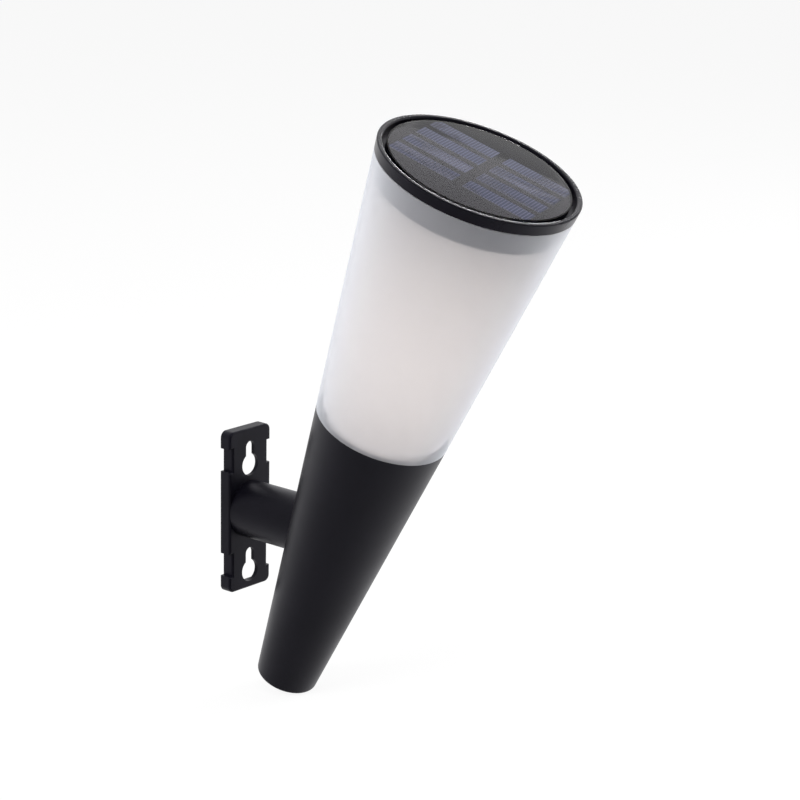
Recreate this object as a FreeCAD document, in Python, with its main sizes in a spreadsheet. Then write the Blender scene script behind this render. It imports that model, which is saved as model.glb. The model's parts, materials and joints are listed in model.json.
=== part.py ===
"""Solar fence light on a wall bracket.

A tapered lamp leans out from a small wall plate on a round arm. From the top it has a solar
head that twists off, a frosted diffuser and a black lower body, all three under one taper.

Frame: origin at the centre of the wall plate's back face, +Y into the wall, +Z up, X along
the wall. The lamp's own pieces are drawn in the lamp frame: Z along the lamp's axis, zero at
the plane of the lip, so a depth below the lip is a negative Z. Their placement leans them out.
"""
import FreeCAD, Part
import os
from math import cos, radians, sin
from FreeCAD import Placement, Rotation, Vector
import Sketcher

doc = FreeCAD.newDocument("FenceLight")

# ---------------------------------------------------------------- the driving sizes, in mm
SIZES = [
    ("overall_length", 212.0),      # lip plane to foot, along the lamp's axis
    ("top_radius", 35.0),           # outer edge of the lip
    ("foot_radius", 11.0),          # where the taper ends at the foot
    ("tilt_angle", 23.0),           # lean of the axis away from the wall, degrees
    ("axis_reach", 48.0),           # wall to lamp axis at the height of the arm
    ("arm_level", 148.0),           # lip plane down to the arm's axis, along the lamp's axis
    ("rim_height", 3.9),            # visible height of the black rim
    ("lip_width", 2.0),             # flat top of the lip
    ("lip_round", 0.4),             # rounding of the lip's outer edge
    ("lip_inner_round", 0.7),
    ("groove_width", 1.5),          # dark gap between lip and panel cover
    ("cover_drop", 0.2),            # top of the cover below the lip plane
    ("cover_thickness", 1.0),
    ("cover_round", 0.35),          # rounding of the cover's edge
    ("cell_thickness", 0.3),
    ("cell_width", 6.3),
    ("cell_length", 24.0),
    ("cell_pitch", 9.95),           # centre to centre across the strips
    ("column_gap", 4.0),            # gap between the two columns of strips
    ("array_shift", 1.3),           # the strips sit a little off the centre of the disc
    ("array_angle", 14.5),          # turn of the strips about the lamp's axis, degrees
    ("cell_margin", 0.3),           # strips end inside the board's edge
    ("board_thickness", 1.2),
    ("board_margin", 0.15),         # board edge inside the cover's edge
    ("shelf_width", 3.6),           # shelf that carries the board, in from the lip's wall
    ("shelf_thickness", 1.6),
    ("skirt_depth", 13.0),          # lip plane to the skirt's lower edge
    ("skirt_wall", 2.6),
    ("skirt_gap", 0.35),            # skirt to diffuser
    ("diffuser_wall", 1.8),
    ("mouth_gap", 0.25),            # rim to the diffuser's upper edge
    ("seam_depth", 101.0),          # lip plane to the seam of diffuser and body
    ("neck_length", 8.0),           # diffuser neck inside the body
    ("neck_wall", 1.6),
    ("neck_gap", 0.15),
    ("bead_height", 0.4),           # snap bead round the neck
    ("bead_width", 1.6),
    ("bead_depth", 5.0),            # seam to the bead
    ("nub_radius", 1.5),            # bayonet nubs inside the diffuser's mouth
    ("nub_depth", 9.0),             # lip plane to the nubs
    ("nub_height", 1.2),
    ("nub_angle", 122.5),           # direction of the first nub, degrees
    ("track_depth", 1.25),          # bayonet tracks in the skirt
    ("track_gap", 0.2),             # track to nub
    ("twist_angle", 25.0),          # turn from open to locked, degrees
    ("seal_width", 1.1),
    ("seal_height", 0.8),
    ("seal_inset", 1.0),            # outer surface of the rim to the seal
    ("seal_gap", 0.05),
    ("body_wall", 2.2),
    ("foot_thickness", 2.5),
    ("foot_round", 1.0),
    ("arm_radius", 10.35),
    ("arm_wall", 2.0),
    ("web_thickness", 3.2),         # end of the arm, along the body's saddle
    ("seat_web", 2.2),              # web left under the arm screws' heads
    ("arm_screw_offset", 5.2),      # each side of the arm's axis
    ("arm_screw_radius", 1.5),
    ("arm_screw_length", 10.0),
    ("arm_head_radius", 2.8),
    ("arm_head_height", 2.0),
    ("body_boss_radius", 3.0),
    ("boss_end", 1.5),              # plastic past the screw's tip
    ("plate_width", 21.0),
    ("plate_height", 60.0),
    ("plate_thickness", 4.5),
    ("plate_front", 1.5),           # front wall of the plate
    ("plate_rim", 1.6),             # walls round the plate's back
    ("plate_corner", 2.4),
    ("plate_edge_round", 0.8),
    ("keyhole_spacing", 40.0),
    ("keyhole_shift", 3.1),         # slot pattern above the plate's middle
    ("slot_radius", 2.15),
    ("keyhole_radius", 4.05),
    ("keyhole_drop", 6.6),          # slot's end to the round hole's centre
    ("notch_depth", 1.5),
    ("notch_length", 8.4),
    ("notch_level", 19.6),          # plate's middle to the notches' middle
    ("plate_screw_offset", 5.8),    # above and below the arm's axis
    ("plate_screw_radius", 1.5),
    ("plate_screw_length", 13.0),
    ("plate_head_radius", 2.9),
    ("plate_head_height", 1.6),
    ("plate_post_radius", 4.0),
    ("arm_boss_radius", 2.9),
    ("screw_gap", 0.05),            # screw to its hole
    ("clear_gap", 0.15),            # screw to the piece it passes through
    ("base_thickness", 1.6),
    ("base_gap", 0.2),              # base to the inside of the skirt
    ("base_screw_inset", 3.2),      # inside of the skirt to the base's screws
    ("base_screw_radius", 1.1),
    ("base_screw_length", 6.5),
    ("base_head_radius", 2.0),
    ("base_head_height", 1.4),
    ("cap_boss_radius", 2.5),
    ("cap_boss_gap", 0.1),
    ("battery_radius", 5.25),
    ("battery_length", 30.0),       # a short cell, two thirds of the common slim size
    ("nub_pole_radius", 1.9),
    ("nub_pole_length", 1.0),
    ("battery_offset", 7.2),        # battery's axis from the lamp's axis
    ("bay_wall", 1.0),
    ("bay_gap", 0.15),
    ("bay_roof", 0.8),
    ("bay_under_board", 0.65),      # roof to the panel board
    ("spring_room", 2.2),
    ("contact_thickness", 0.4),
    ("contact_width", 8.0),
    ("contact_height", 8.0),
    ("tab_height", 2.0),
    ("tab_reach", 2.0),             # tab outside the bay's wall
    ("spring_wire", 0.5),
    ("spring_radius", 2.9),
    ("spring_turns", 2.5),
    ("lid_thickness", 1.3),
    ("lid_gap", 0.2),
    ("lid_screw_x", 12.5),
    ("lid_screw_reach", 3.0),       # lid screws from the bay's wall
    ("lid_screw_radius", 0.95),
    ("lid_screw_length", 4.2),
    ("lid_head_radius", 1.8),
    ("lid_head_height", 1.2),
    ("lid_boss_radius", 2.2),
    ("lid_ear_radius", 2.8),
    ("circuit_depth", 5.4),         # lip plane to the circuit board's top
    ("circuit_thickness", 1.2),
    ("circuit_length", 32.0),
    ("circuit_width", 18.5),
    ("circuit_shift", 10.75),       # circuit board's middle from the lamp's axis
    ("post_x", 13.0),
    ("post_y", 16.5),
    ("post_radius", 2.0),
    ("peg_radius", 0.9),
    ("peg_height", 0.5),            # staked end above the circuit board
    ("led_shift", 4.5),             # LED from the lamp's axis
    ("led_radius", 2.5),
    ("led_flange_radius", 2.9),
    ("led_flange_height", 1.0),
    ("led_barrel", 5.1),            # flange to the start of the dome
    ("led_leg_radius", 0.25),
    ("led_leg_spacing", 2.54),
    ("chip_length", 4.9),
    ("chip_width", 3.9),
    ("chip_height", 1.5),
    ("chip_x", 9.5),
    ("chip_y", 7.0),
    ("choke_radius", 1.5),
    ("choke_waist", 1.1),
    ("choke_length", 7.0),
    ("choke_collar", 1.2),
    ("switch_length", 8.6),
    ("switch_width", 4.4),
    ("switch_height", 4.5),
    ("switch_shift", 14.2),         # switch from the lamp's axis
    ("switch_travel", 2.0),
    ("knob_length", 2.0),
    ("knob_width", 1.8),
    ("knob_bed", 1.2),              # knob inside the switch
    ("knob_proud", 2.2),            # knob below the base
    ("knob_gap", 0.1),
    ("slot_gap", 0.3),              # base slot round the knob's travel
    ("lead_radius", 0.3),
    ("lead_bend", 1.6),
    ("lead_stand", 1.6),            # panel leads beyond the posts
    ("lead_step", 2.0),             # sideways step of the panel leads
    ("panel_pad_x", 4.0),
    ("board_pad_x", 8.4),
    ("battery_pad_inset", 2.4),     # board's end to the battery leads
    ("battery_lead_run", 3.4),
    ("tab_shift", 1.6),             # tabs above the battery's axis
    ("seat_room", 5.0),             # free depth in front of each arm screw's seat
]

sheet = doc.addObject("Spreadsheet::Sheet", "Sizes")
for row, (name, number) in enumerate(SIZES, start=1):
    sheet.set("A%d" % row, name)
    sheet.set("B%d" % row, repr(number))
    sheet.setAlias("B%d" % row, name)
doc.recompute()


class Size:
    """A size that carries its number and the sheet expression that drives it."""

    def __init__(self, number, text):
        self.number = number
        self.text = text

    def __add__(self, other):
        other = as_size(other)
        return Size(self.number + other.number, "(%s + %s)" % (self.text, other.text))

    def __sub__(self, other):
        other = as_size(other)
        return Size(self.number - other.number, "(%s - %s)" % (self.text, other.text))

    def __mul__(self, other):
        other = as_size(other)
        return Size(self.number * other.number, "(%s * %s)" % (self.text, other.text))

    def __truediv__(self, other):
        other = as_size(other)
        return Size(self.number / other.number, "(%s / %s)" % (self.text, other.text))

    def __radd__(self, other):
        return as_size(other) + self

    def __rsub__(self, other):
        return as_size(other) - self

    def __rmul__(self, other):
        return as_size(other) * self

    def __neg__(self):
        return Size(-self.number, "(0 - %s)" % self.text)


def as_size(value):
    """A plain number becomes a size of its own."""
    if isinstance(value, Size):
        return value
    return Size(float(value), repr(float(value)))


def S(name):
    """The size of that name in the sheet."""
    return Size(float(sheet.get(name)), "Sizes." + name)


def bind(thing, prop, size):
    """Drive one property by its size."""
    thing.setExpression(prop, as_size(size).text)


COS = Size(cos(radians(S("tilt_angle").number)), "cos(Sizes.tilt_angle)")
SIN = Size(sin(radians(S("tilt_angle").number)), "sin(Sizes.tilt_angle)")
TAPER = (S("top_radius") - S("foot_radius")) / S("overall_length")
DEGREES = 57.29577951


def outer(depth):
    """Radius of the one taper that head, diffuser and body share."""
    return S("top_radius") - TAPER * depth


# ---------------------------------------------------------------- sketch and body helpers
def new_body(label):
    body = doc.addObject("PartDesign::Body", label)
    body.Label = label
    return body


def origin_plane(body, role):
    """One of the body's own origin planes, such as XY_Plane."""
    for feature in body.Origin.OriginFeatures:
        if feature.Role == role:
            return feature


def new_sketch(body, name, role, shift=(0, 0, 0), axis=None, angle=0):
    """A sketch on an origin plane, moved in that plane's own axes and turned about one."""
    sketch = body.newObject("Sketcher::SketchObject", name)
    sketch.AttachmentSupport = (origin_plane(body, role), [""])
    sketch.MapMode = "FlatFace"
    shift = [as_size(value) for value in shift]
    angle = as_size(angle)
    turn = Rotation(Vector(*axis), angle.number) if axis else Rotation()
    sketch.AttachmentOffset = Placement(Vector(*[value.number for value in shift]), turn)
    for letter, value in zip("xyz", shift):
        bind(sketch, "AttachmentOffset.Base." + letter, value)
    if axis:
        bind(sketch, "AttachmentOffset.Rotation.Angle", angle)
    return sketch


def pin_point(sketch, geometry, end, x, y):
    """Hold one point of the sketch at its two sizes."""
    for kind, size, axis_line in (("DistanceX", as_size(x), -2), ("DistanceY", as_size(y), -1)):
        if abs(size.number) < 1e-9:
            sketch.addConstraint(Sketcher.Constraint("PointOnObject", geometry, end, axis_line))
            continue
        if size.number > 0:
            link = Sketcher.Constraint(kind, -1, 1, geometry, end, size.number)
        else:
            link = Sketcher.Constraint(kind, geometry, end, -1, 1, -size.number)
            size = -size
        index = sketch.addConstraint(link)
        bind(sketch, "Constraints[%d]" % index, size)


def add_polygon(sketch, points):
    """A closed outline through points that are each held by two sizes."""
    points = [(as_size(x), as_size(y)) for x, y in points]
    count = len(points)
    first = sketch.GeometryCount
    for index, (x, y) in enumerate(points):
        after = points[(index + 1) % count]
        start = Vector(x.number, y.number, 0)
        end = Vector(after[0].number, after[1].number, 0)
        sketch.addGeometry(Part.LineSegment(start, end))
    for index in range(count):
        following = first + (index + 1) % count
        sketch.addConstraint(
            Sketcher.Constraint("Coincident", first + index, 2, following, 1))
    for index, (x, y) in enumerate(points):
        pin_point(sketch, first + index, 1, x, y)


def add_box_outline(sketch, low_x, high_x, low_y, high_y):
    add_polygon(sketch, [(low_x, low_y), (high_x, low_y), (high_x, high_y), (low_x, high_y)])


def add_circle(sketch, x, y, radius):
    radius = as_size(radius)
    centre = Vector(as_size(x).number, as_size(y).number, 0)
    index = sketch.addGeometry(Part.Circle(centre, Vector(0, 0, 1), radius.number))
    pin_point(sketch, index, 3, x, y)
    link = sketch.addConstraint(Sketcher.Constraint("Radius", index, radius.number))
    bind(sketch, "Constraints[%d]" % link, radius)


def add_slot(sketch, x, high_y, low_y, radius):
    """An upright slot outline: two half circles joined by straight sides."""
    x, high_y, low_y, radius = [as_size(value) for value in (x, high_y, low_y, radius)]
    left = x.number - radius.number
    right = x.number + radius.number
    top = Part.Circle(Vector(x.number, high_y.number, 0), Vector(0, 0, 1), radius.number)
    foot = Part.Circle(Vector(x.number, low_y.number, 0), Vector(0, 0, 1), radius.number)
    half = radians(180)
    a = sketch.addGeometry(Part.ArcOfCircle(top, 0, half))
    b = sketch.addGeometry(Part.ArcOfCircle(foot, half, 2 * half))
    high = high_y.number
    low = low_y.number
    c = sketch.addGeometry(Part.LineSegment(Vector(left, high, 0), Vector(left, low, 0)))
    d = sketch.addGeometry(Part.LineSegment(Vector(right, low, 0), Vector(right, high, 0)))
    for one, its_end, two, other_end in ((a, 2, c, 1), (c, 2, b, 1), (b, 2, d, 1), (d, 2, a, 1)):
        sketch.addConstraint(Sketcher.Constraint("Tangent", one, its_end, two, other_end))
    pin_point(sketch, a, 3, x, high_y)
    pin_point(sketch, b, 3, x, low_y)
    link = sketch.addConstraint(Sketcher.Constraint("Radius", a, radius.number))
    bind(sketch, "Constraints[%d]" % link, radius)


def revolve(body, sketch, name="Turned"):
    feature = body.newObject("PartDesign::Revolution", name)
    feature.Profile = sketch
    feature.ReferenceAxis = (sketch, ["V_Axis"])
    feature.Angle = 360
    return feature


def turned(label, points):
    """A body of revolution about the lamp's axis, from radius and depth below the lip."""
    body = new_body(label)
    sketch = new_sketch(body, label + "_profile", "XZ_Plane")
    add_polygon(sketch, [(radius, -as_size(depth)) for radius, depth in points])
    revolve(body, sketch, label + "_turned")
    return body


def groove(body, sketch, name, angle):
    """Cut a profile round the lamp's axis through part of a turn."""
    feature = body.newObject("PartDesign::Groove", name)
    feature.Profile = sketch
    feature.ReferenceAxis = (sketch, ["V_Axis"])
    bind(feature, "Angle", angle)
    feature.Angle = as_size(angle).number
    return feature


def extrude(body, sketch, name, length, cut=False, backwards=False):
    kind = "PartDesign::Pocket" if cut else "PartDesign::Pad"
    feature = body.newObject(kind, name)
    feature.Profile = sketch
    feature.Length = as_size(length).number
    bind(feature, "Length", length)
    feature.Reversed = backwards
    return feature


def pad_down(body, name, from_depth, to_depth, draw):
    """A prism along the lamp's axis between two depths, its outline drawn by draw(sketch)."""
    sketch = new_sketch(body, name + "_outline", "XY_Plane", (0, 0, -as_size(to_depth)))
    draw(sketch)
    return extrude(body, sketch, name, as_size(to_depth) - from_depth)


def cut_down(body, name, from_depth, to_depth, draw):
    """The same prism, cut away."""
    sketch = new_sketch(body, name + "_outline", "XY_Plane", (0, 0, -as_size(from_depth)))
    draw(sketch)
    return extrude(body, sketch, name, as_size(to_depth) - from_depth, cut=True)


def around(body, features, name, count):
    """Repeat features evenly round the lamp's axis."""
    pattern = body.newObject("PartDesign::PolarPattern", name)
    pattern.Originals = features
    axis = [f for f in body.Origin.OriginFeatures if f.Role == "Z_Axis"][0]
    pattern.Axis = (axis, [""])
    pattern.Angle = 360
    pattern.Occurrences = count
    body.Tip = pattern
    return pattern


def circle_edges(feature, radius, height):
    """Names of the round edges of that radius at that height of the lamp frame."""
    names = []
    for index, edge in enumerate(feature.Shape.Edges, start=1):
        if edge.Degenerated:
            continue
        curve = edge.Curve
        if isinstance(curve, Part.Circle):
            if abs(curve.Radius - radius) < 1e-3 and abs(curve.Center.z - height) < 1e-3:
                names.append("Edge%d" % index)
    return names


def soften(body, feature, name, edges, radius):
    rounding = body.newObject("PartDesign::Fillet", name)
    rounding.Base = (feature, edges)
    rounding.Radius = as_size(radius).number
    bind(rounding, "Radius", radius)
    return rounding


NODES = []


def place_in_lamp(piece):
    """Lean a piece of the lamp frame out from the wall with the whole lamp."""
    base_y = -(S("axis_reach") + S("arm_level") * SIN)
    base_z = S("arm_level") * COS
    turn = Rotation(Vector(1, 0, 0), S("tilt_angle").number)
    piece.Placement = Placement(Vector(0, base_y.number, base_z.number), turn)
    bind(piece, "Placement.Base.y", base_y)
    bind(piece, "Placement.Base.z", base_z)
    bind(piece, "Placement.Rotation.Angle", S("tilt_angle"))
    NODES.append(piece)


def place_on_wall(piece):
    """A piece of the bracket already stands in the wall frame."""
    piece.Placement = Placement()
    NODES.append(piece)


# ---------------------------------------------------------------- heights that pieces share
lip_inner = S("top_radius") - S("lip_width")
cover_radius = lip_inner - S("groove_width")
cell_top = S("cover_drop") + S("cover_thickness")
board_top = cell_top + S("cell_thickness")
board_under = board_top + S("board_thickness")
shelf_under = board_under + S("shelf_thickness")
shelf_inner = lip_inner - S("shelf_width")
mouth = S("rim_height") + S("mouth_gap")


def skirt_outer(depth):
    return outer(depth) - S("diffuser_wall") - S("skirt_gap")


def skirt_inner(depth):
    return skirt_outer(depth) - S("skirt_wall")


base_under = S("skirt_depth")
base_top = base_under - S("base_thickness")
base_radius = skirt_inner(base_under) - S("base_gap")
ring = skirt_inner(base_under) - S("base_screw_inset")
bay_top = board_under + S("bay_under_board")
battery_depth = bay_top + S("bay_roof") + S("bay_gap") + S("battery_radius")
bay_half = S("battery_radius") + S("bay_gap")
bay_low = S("battery_offset") - bay_half
bay_high = S("battery_offset") + bay_half
bay_end = battery_depth + S("battery_radius") + S("lid_gap")
bay_length = S("battery_length") + S("spring_room") + 2 * S("contact_thickness") + 2 * S("knob_gap")
bay_x = bay_length / 2
circuit_under = S("circuit_depth") + S("circuit_thickness")

# ---------------------------------------------------------------- the solar head
# head_cap: lip, rim and the skirt that plugs into the diffuser, turned as one moulding
cap = turned("head_cap", [
    (lip_inner, 0),
    (S("top_radius"), 0),
    (outer(S("rim_height")), S("rim_height")),
    (outer(S("rim_height")) - S("seal_inset"), S("rim_height")),
    (outer(S("rim_height")) - S("seal_inset"), mouth - S("seal_gap") - S("seal_height")),
    (skirt_outer(S("rim_height")), mouth - S("seal_gap") - S("seal_height")),
    (skirt_outer(S("skirt_depth")), S("skirt_depth")),
    (skirt_inner(S("skirt_depth")), S("skirt_depth")),
    (skirt_inner(shelf_under), shelf_under),
    (shelf_inner, shelf_under),
    (shelf_inner, board_under),
    (lip_inner, board_under),
])
doc.recompute()
lip_edge = circle_edges(cap.Tip, S("top_radius").number, 0.0)
outer_round = soften(cap, cap.Tip, "lip_rounding", lip_edge, S("lip_round"))
doc.recompute()
inner_edge = circle_edges(outer_round, lip_inner.number, 0.0)
soften(cap, outer_round, "lip_inner_rounding", inner_edge, S("lip_inner_round"))

# bayonet tracks: an entry up from the skirt's edge, then a run round to the locked end
half_track = S("nub_radius") + S("track_gap")
track_floor = skirt_outer(S("nub_depth")) - S("track_depth")
half_turn = half_track / track_floor * DEGREES
run_sketch = new_sketch(cap, "run_profile", "XZ_Plane", (0, 0, 0), (0, 1, 0),
                        S("nub_angle") - half_turn)
add_box_outline(run_sketch, track_floor, S("top_radius"),
                -(S("nub_depth") + half_track), -(S("nub_depth") - half_track))
run = groove(cap, run_sketch, "track_run", S("twist_angle") + 2 * half_turn)
entry_sketch = new_sketch(cap, "entry_profile", "XZ_Plane", (0, 0, 0), (0, 1, 0),
                          S("nub_angle") - half_turn)
add_box_outline(entry_sketch, track_floor, S("top_radius"),
                -(S("skirt_depth") + 1), -S("nub_depth"))
entry = groove(cap, entry_sketch, "track_entry", 2 * half_turn)
around(cap, [run, entry], "tracks", 2)


# three bosses under the shelf take the screws of the base, each tied to the skirt's wall
boss_under = base_top - S("cap_boss_gap")
boss_root = shelf_under - S("shelf_thickness") / 4
boss = pad_down(cap, "screw_boss", boss_root, boss_under, lambda sketch: add_circle(
    sketch, 0, ring, S("cap_boss_radius")))
web_end = skirt_inner(base_top) + S("skirt_wall") / 2
web = pad_down(cap, "boss_web", boss_root, boss_under, lambda sketch: add_box_outline(
    sketch, -S("cap_boss_radius"), S("cap_boss_radius"), ring, web_end))
pilot_top = base_under - S("base_screw_length") - S("boss_end") / 2
pilot = cut_down(cap, "boss_pilot", pilot_top, base_under, lambda sketch: add_circle(
    sketch, 0, ring, S("base_screw_radius") + S("screw_gap")))
around(cap, [boss, web, pilot], "bosses", 3)
place_in_lamp(cap)

# panel_cover: clear disc with a rounded upper edge
cover = turned("panel_cover", [
    (0, S("cover_drop")), (cover_radius, S("cover_drop")), (cover_radius, cell_top), (0, cell_top)])
doc.recompute()
cover_edge = circle_edges(cover.Tip, cover_radius.number, -S("cover_drop").number)
soften(cover, cover.Tip, "cover_rounding", cover_edge, S("cover_round"))
place_in_lamp(cover)

# panel_board: the dark round board under the cover
board_radius = cover_radius - S("board_margin")
board = turned("panel_board", [
    (0, board_top), (board_radius, board_top), (board_radius, board_under), (0, board_under)])
place_in_lamp(board)

# solar_cells: two columns of four strips, trimmed where they would run off the board
cells = doc.addObject("Part::Feature", "solar_cells")
cells.Label = "solar_cells"
strips = []
for column in (-1, 1):
    for rank in (-1.5, -0.5, 0.5, 1.5):
        strip = Part.makeBox(S("cell_width").number, S("cell_length").number,
                             S("cell_thickness").number)
        low_y = S("column_gap").number / 2
        if column < 0:
            low_y = -low_y - S("cell_length").number
        middle_x = rank * S("cell_pitch").number + S("array_shift").number
        strip.translate(Vector(middle_x - S("cell_width").number / 2, low_y,
                               -board_top.number))
        strips.append(strip)
field = Part.makeCompound(strips)
field.rotate(Vector(0, 0, 0), Vector(0, 0, 1), S("array_angle").number)
trim = Part.makeCylinder(board_radius.number - S("cell_margin").number,
                         3 * S("cell_thickness").number,
                         Vector(0, 0, -board_top.number - S("cell_thickness").number))
cells.Shape = field.common(trim)
place_in_lamp(cells)

# head_seal: rubber ring in the step under the rim
seal_outer = outer(S("rim_height")) - S("seal_inset") - S("seal_gap")
seal = turned("head_seal", [
    (seal_outer - S("seal_width"), mouth - S("seal_gap")),
    (seal_outer, mouth - S("seal_gap")),
    (seal_outer, mouth - S("seal_gap") - S("seal_height")),
    (seal_outer - S("seal_width"), mouth - S("seal_gap") - S("seal_height")),
])
place_in_lamp(seal)

# ---------------------------------------------------------------- the base of the head
base = turned("head_base", [
    (0, base_top), (base_radius, base_top), (base_radius, base_under), (0, base_under)])
bay_outer_x = bay_x + S("bay_wall")
lid_screw_y = bay_low - S("bay_wall") - S("lid_screw_reach")
pad_down(base, "bay_block", bay_top, bay_end, lambda sketch: add_box_outline(
    sketch, -bay_outer_x, bay_outer_x, bay_low - S("bay_wall"), bay_high + S("bay_wall")))
cut_down(base, "bay_room", bay_top + S("bay_roof"), bay_end, lambda sketch: add_box_outline(
    sketch, -bay_x, bay_x, bay_low, bay_high))


def tab_slots(sketch):
    """Slots in the bay's long wall that let the two contact tabs out."""
    room = S("contact_thickness") + S("bay_gap")
    for side in (-1, 1):
        near = side * (bay_x - room)
        far = side * bay_x
        low, high = (near, far) if side > 0 else (far, near)
        add_box_outline(sketch, low, high, bay_low - S("bay_wall") - 0.5, bay_low + 0.5)


tab_low = battery_depth + S("tab_height") / 2 - S("tab_shift")
tab_high = battery_depth - S("tab_height") / 2 - S("tab_shift")
cut_down(base, "tab_openings", tab_high - S("bay_gap"), tab_low + S("bay_gap"), tab_slots)


def paired(x, y, radius):
    """Draw two equal circles, one each side of the lamp's plane of symmetry."""
    def draw(sketch):
        add_circle(sketch, -as_size(x), y, radius)
        add_circle(sketch, x, y, radius)
    return draw


pad_down(base, "board_posts", circuit_under, base_top, paired(
    S("post_x"), -S("post_y"), S("post_radius")))
pad_down(base, "board_pegs", S("circuit_depth") - S("peg_height"), circuit_under, paired(
    S("post_x"), -S("post_y"), S("peg_radius")))
pad_down(base, "lid_bosses", base_under, bay_end, paired(
    S("lid_screw_x"), lid_screw_y, S("lid_boss_radius")))
lid_pilot_top = bay_end + S("lid_thickness") - S("lid_screw_length") - 0.3
cut_down(base, "lid_pilots", lid_pilot_top, bay_end, paired(
    S("lid_screw_x"), lid_screw_y, S("lid_screw_radius") + S("screw_gap")))
cut_down(base, "led_hole", base_top, base_under, lambda sketch: add_circle(
    sketch, 0, -S("led_shift"), S("led_radius") + S("screw_gap")))
slot_x = (S("knob_length") + S("switch_travel")) / 2 + S("slot_gap")
slot_y = S("knob_width") / 2 + S("slot_gap")
cut_down(base, "knob_slot", base_top, base_under, lambda sketch: add_box_outline(
    sketch, -slot_x, slot_x, -(S("switch_shift") + slot_y), -(S("switch_shift") - slot_y)))
base_hole = cut_down(base, "screw_hole", base_top, base_under, lambda sketch: add_circle(
    sketch, 0, ring, S("base_screw_radius") + S("clear_gap")))
around(base, [base_hole], "screw_holes", 3)
place_in_lamp(base)


def screw(body, x, y, seat, head_radius, head_height, shank_radius, length, label):
    """A pan-head screw pointing up the lamp's axis, its head below the seat."""
    pad_down(body, label + "_head", seat, as_size(seat) + head_height,
             lambda sketch: add_circle(sketch, x, y, head_radius))
    pad_down(body, label + "_shank", as_size(seat) - length, seat,
             lambda sketch: add_circle(sketch, x, y, shank_radius))


def screw_group(label, spots, seat, head_radius, head_height, shank_radius, length):
    """Identical screws as one group of separate solids."""
    group = doc.addObject("Part::Compound", label)
    members = []
    for number, (x, y) in enumerate(spots, start=1):
        body = doc.addObject("PartDesign::Body", "%s_%d" % (label, number))
        screw(body, x, y, seat, head_radius, head_height, shank_radius, length,
              "%s_%d" % (label, number))
        members.append(body)
    group.Links = members
    group.Label = label
    place_in_lamp(group)
    return group


half_root = 0.8660254
screw_group("base_screws", [(0, ring), (ring * half_root, -ring / 2), (-ring * half_root, -ring / 2)],
            base_under, S("base_head_radius"), S("base_head_height"),
            S("base_screw_radius"), S("base_screw_length"))

# battery_cover: lid with two ears for its screws
lid = new_body("battery_cover")
lid_under = bay_end + S("lid_thickness")
pad_down(lid, "lid_plate", bay_end, lid_under, lambda sketch: add_box_outline(
    sketch, -bay_outer_x, bay_outer_x, bay_low - S("bay_wall"), bay_high + S("bay_wall")))
for side, ear_name in ((-1, "left_ear"), (1, "right_ear")):
    middle = side * S("lid_screw_x")
    pad_down(lid, ear_name, bay_end, lid_under, lambda sketch: add_slot(
        sketch, middle, bay_low, lid_screw_y, S("lid_ear_radius")))
cut_down(lid, "lid_holes", bay_end, lid_under, paired(
    S("lid_screw_x"), lid_screw_y, S("lid_screw_radius") + S("clear_gap")))
place_in_lamp(lid)
screw_group("cover_screws", [(-S("lid_screw_x"), lid_screw_y), (S("lid_screw_x"), lid_screw_y)],
            lid_under, S("lid_head_radius"), S("lid_head_height"),
            S("lid_screw_radius"), S("lid_screw_length"))

# ---------------------------------------------------------------- battery and its contacts
contact_x = bay_x - S("knob_gap") - S("contact_thickness")
nub_end = contact_x - 0.05
can_end = nub_end - S("nub_pole_length")
can_start = nub_end - S("battery_length")


def lying_sketch(body, name, start):
    """A sketch square to X at that distance, its axes along Y and Z."""
    return new_sketch(body, name, "YZ_Plane", (0, 0, start))


battery = new_body("battery")
can_sketch = lying_sketch(battery, "can_outline", can_start)
add_circle(can_sketch, S("battery_offset"), -battery_depth, S("battery_radius"))
extrude(battery, can_sketch, "can", can_end - can_start)
pole_sketch = lying_sketch(battery, "pole_outline", can_end)
add_circle(pole_sketch, S("battery_offset"), -battery_depth, S("nub_pole_radius"))
extrude(battery, pole_sketch, "pole", S("nub_pole_length"))
doc.recompute()
rims = []
for index, edge in enumerate(battery.Tip.Shape.Edges, start=1):
    if isinstance(edge.Curve, Part.Circle):
        if abs(edge.Curve.Radius - S("battery_radius").number) < 1e-3:
            rims.append("Edge%d" % index)
soften(battery, battery.Tip, "can_rims", rims, S("contact_thickness"))
place_in_lamp(battery)


def contact(label, side):
    """A contact plate at one end of the bay, with a tab out through the bay's wall."""
    body = new_body(label)
    start = contact_x if side > 0 else -bay_x + S("knob_gap")
    plate = lying_sketch(body, label + "_outline", start)
    middle = S("battery_offset")
    add_box_outline(plate, middle - S("contact_width") / 2, middle + S("contact_width") / 2,
                    -(battery_depth + S("contact_height") / 2),
                    -(battery_depth - S("contact_height") / 2))
    extrude(body, plate, label + "_plate", S("contact_thickness"))
    tab = lying_sketch(body, label + "_tab_outline", start)
    add_box_outline(tab, bay_low - S("bay_wall") - S("tab_reach"), middle,
                    -tab_low, -tab_high)
    extrude(body, tab, label + "_tab", S("contact_thickness"))
    return body


place_in_lamp(contact("battery_contact", 1))

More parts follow.
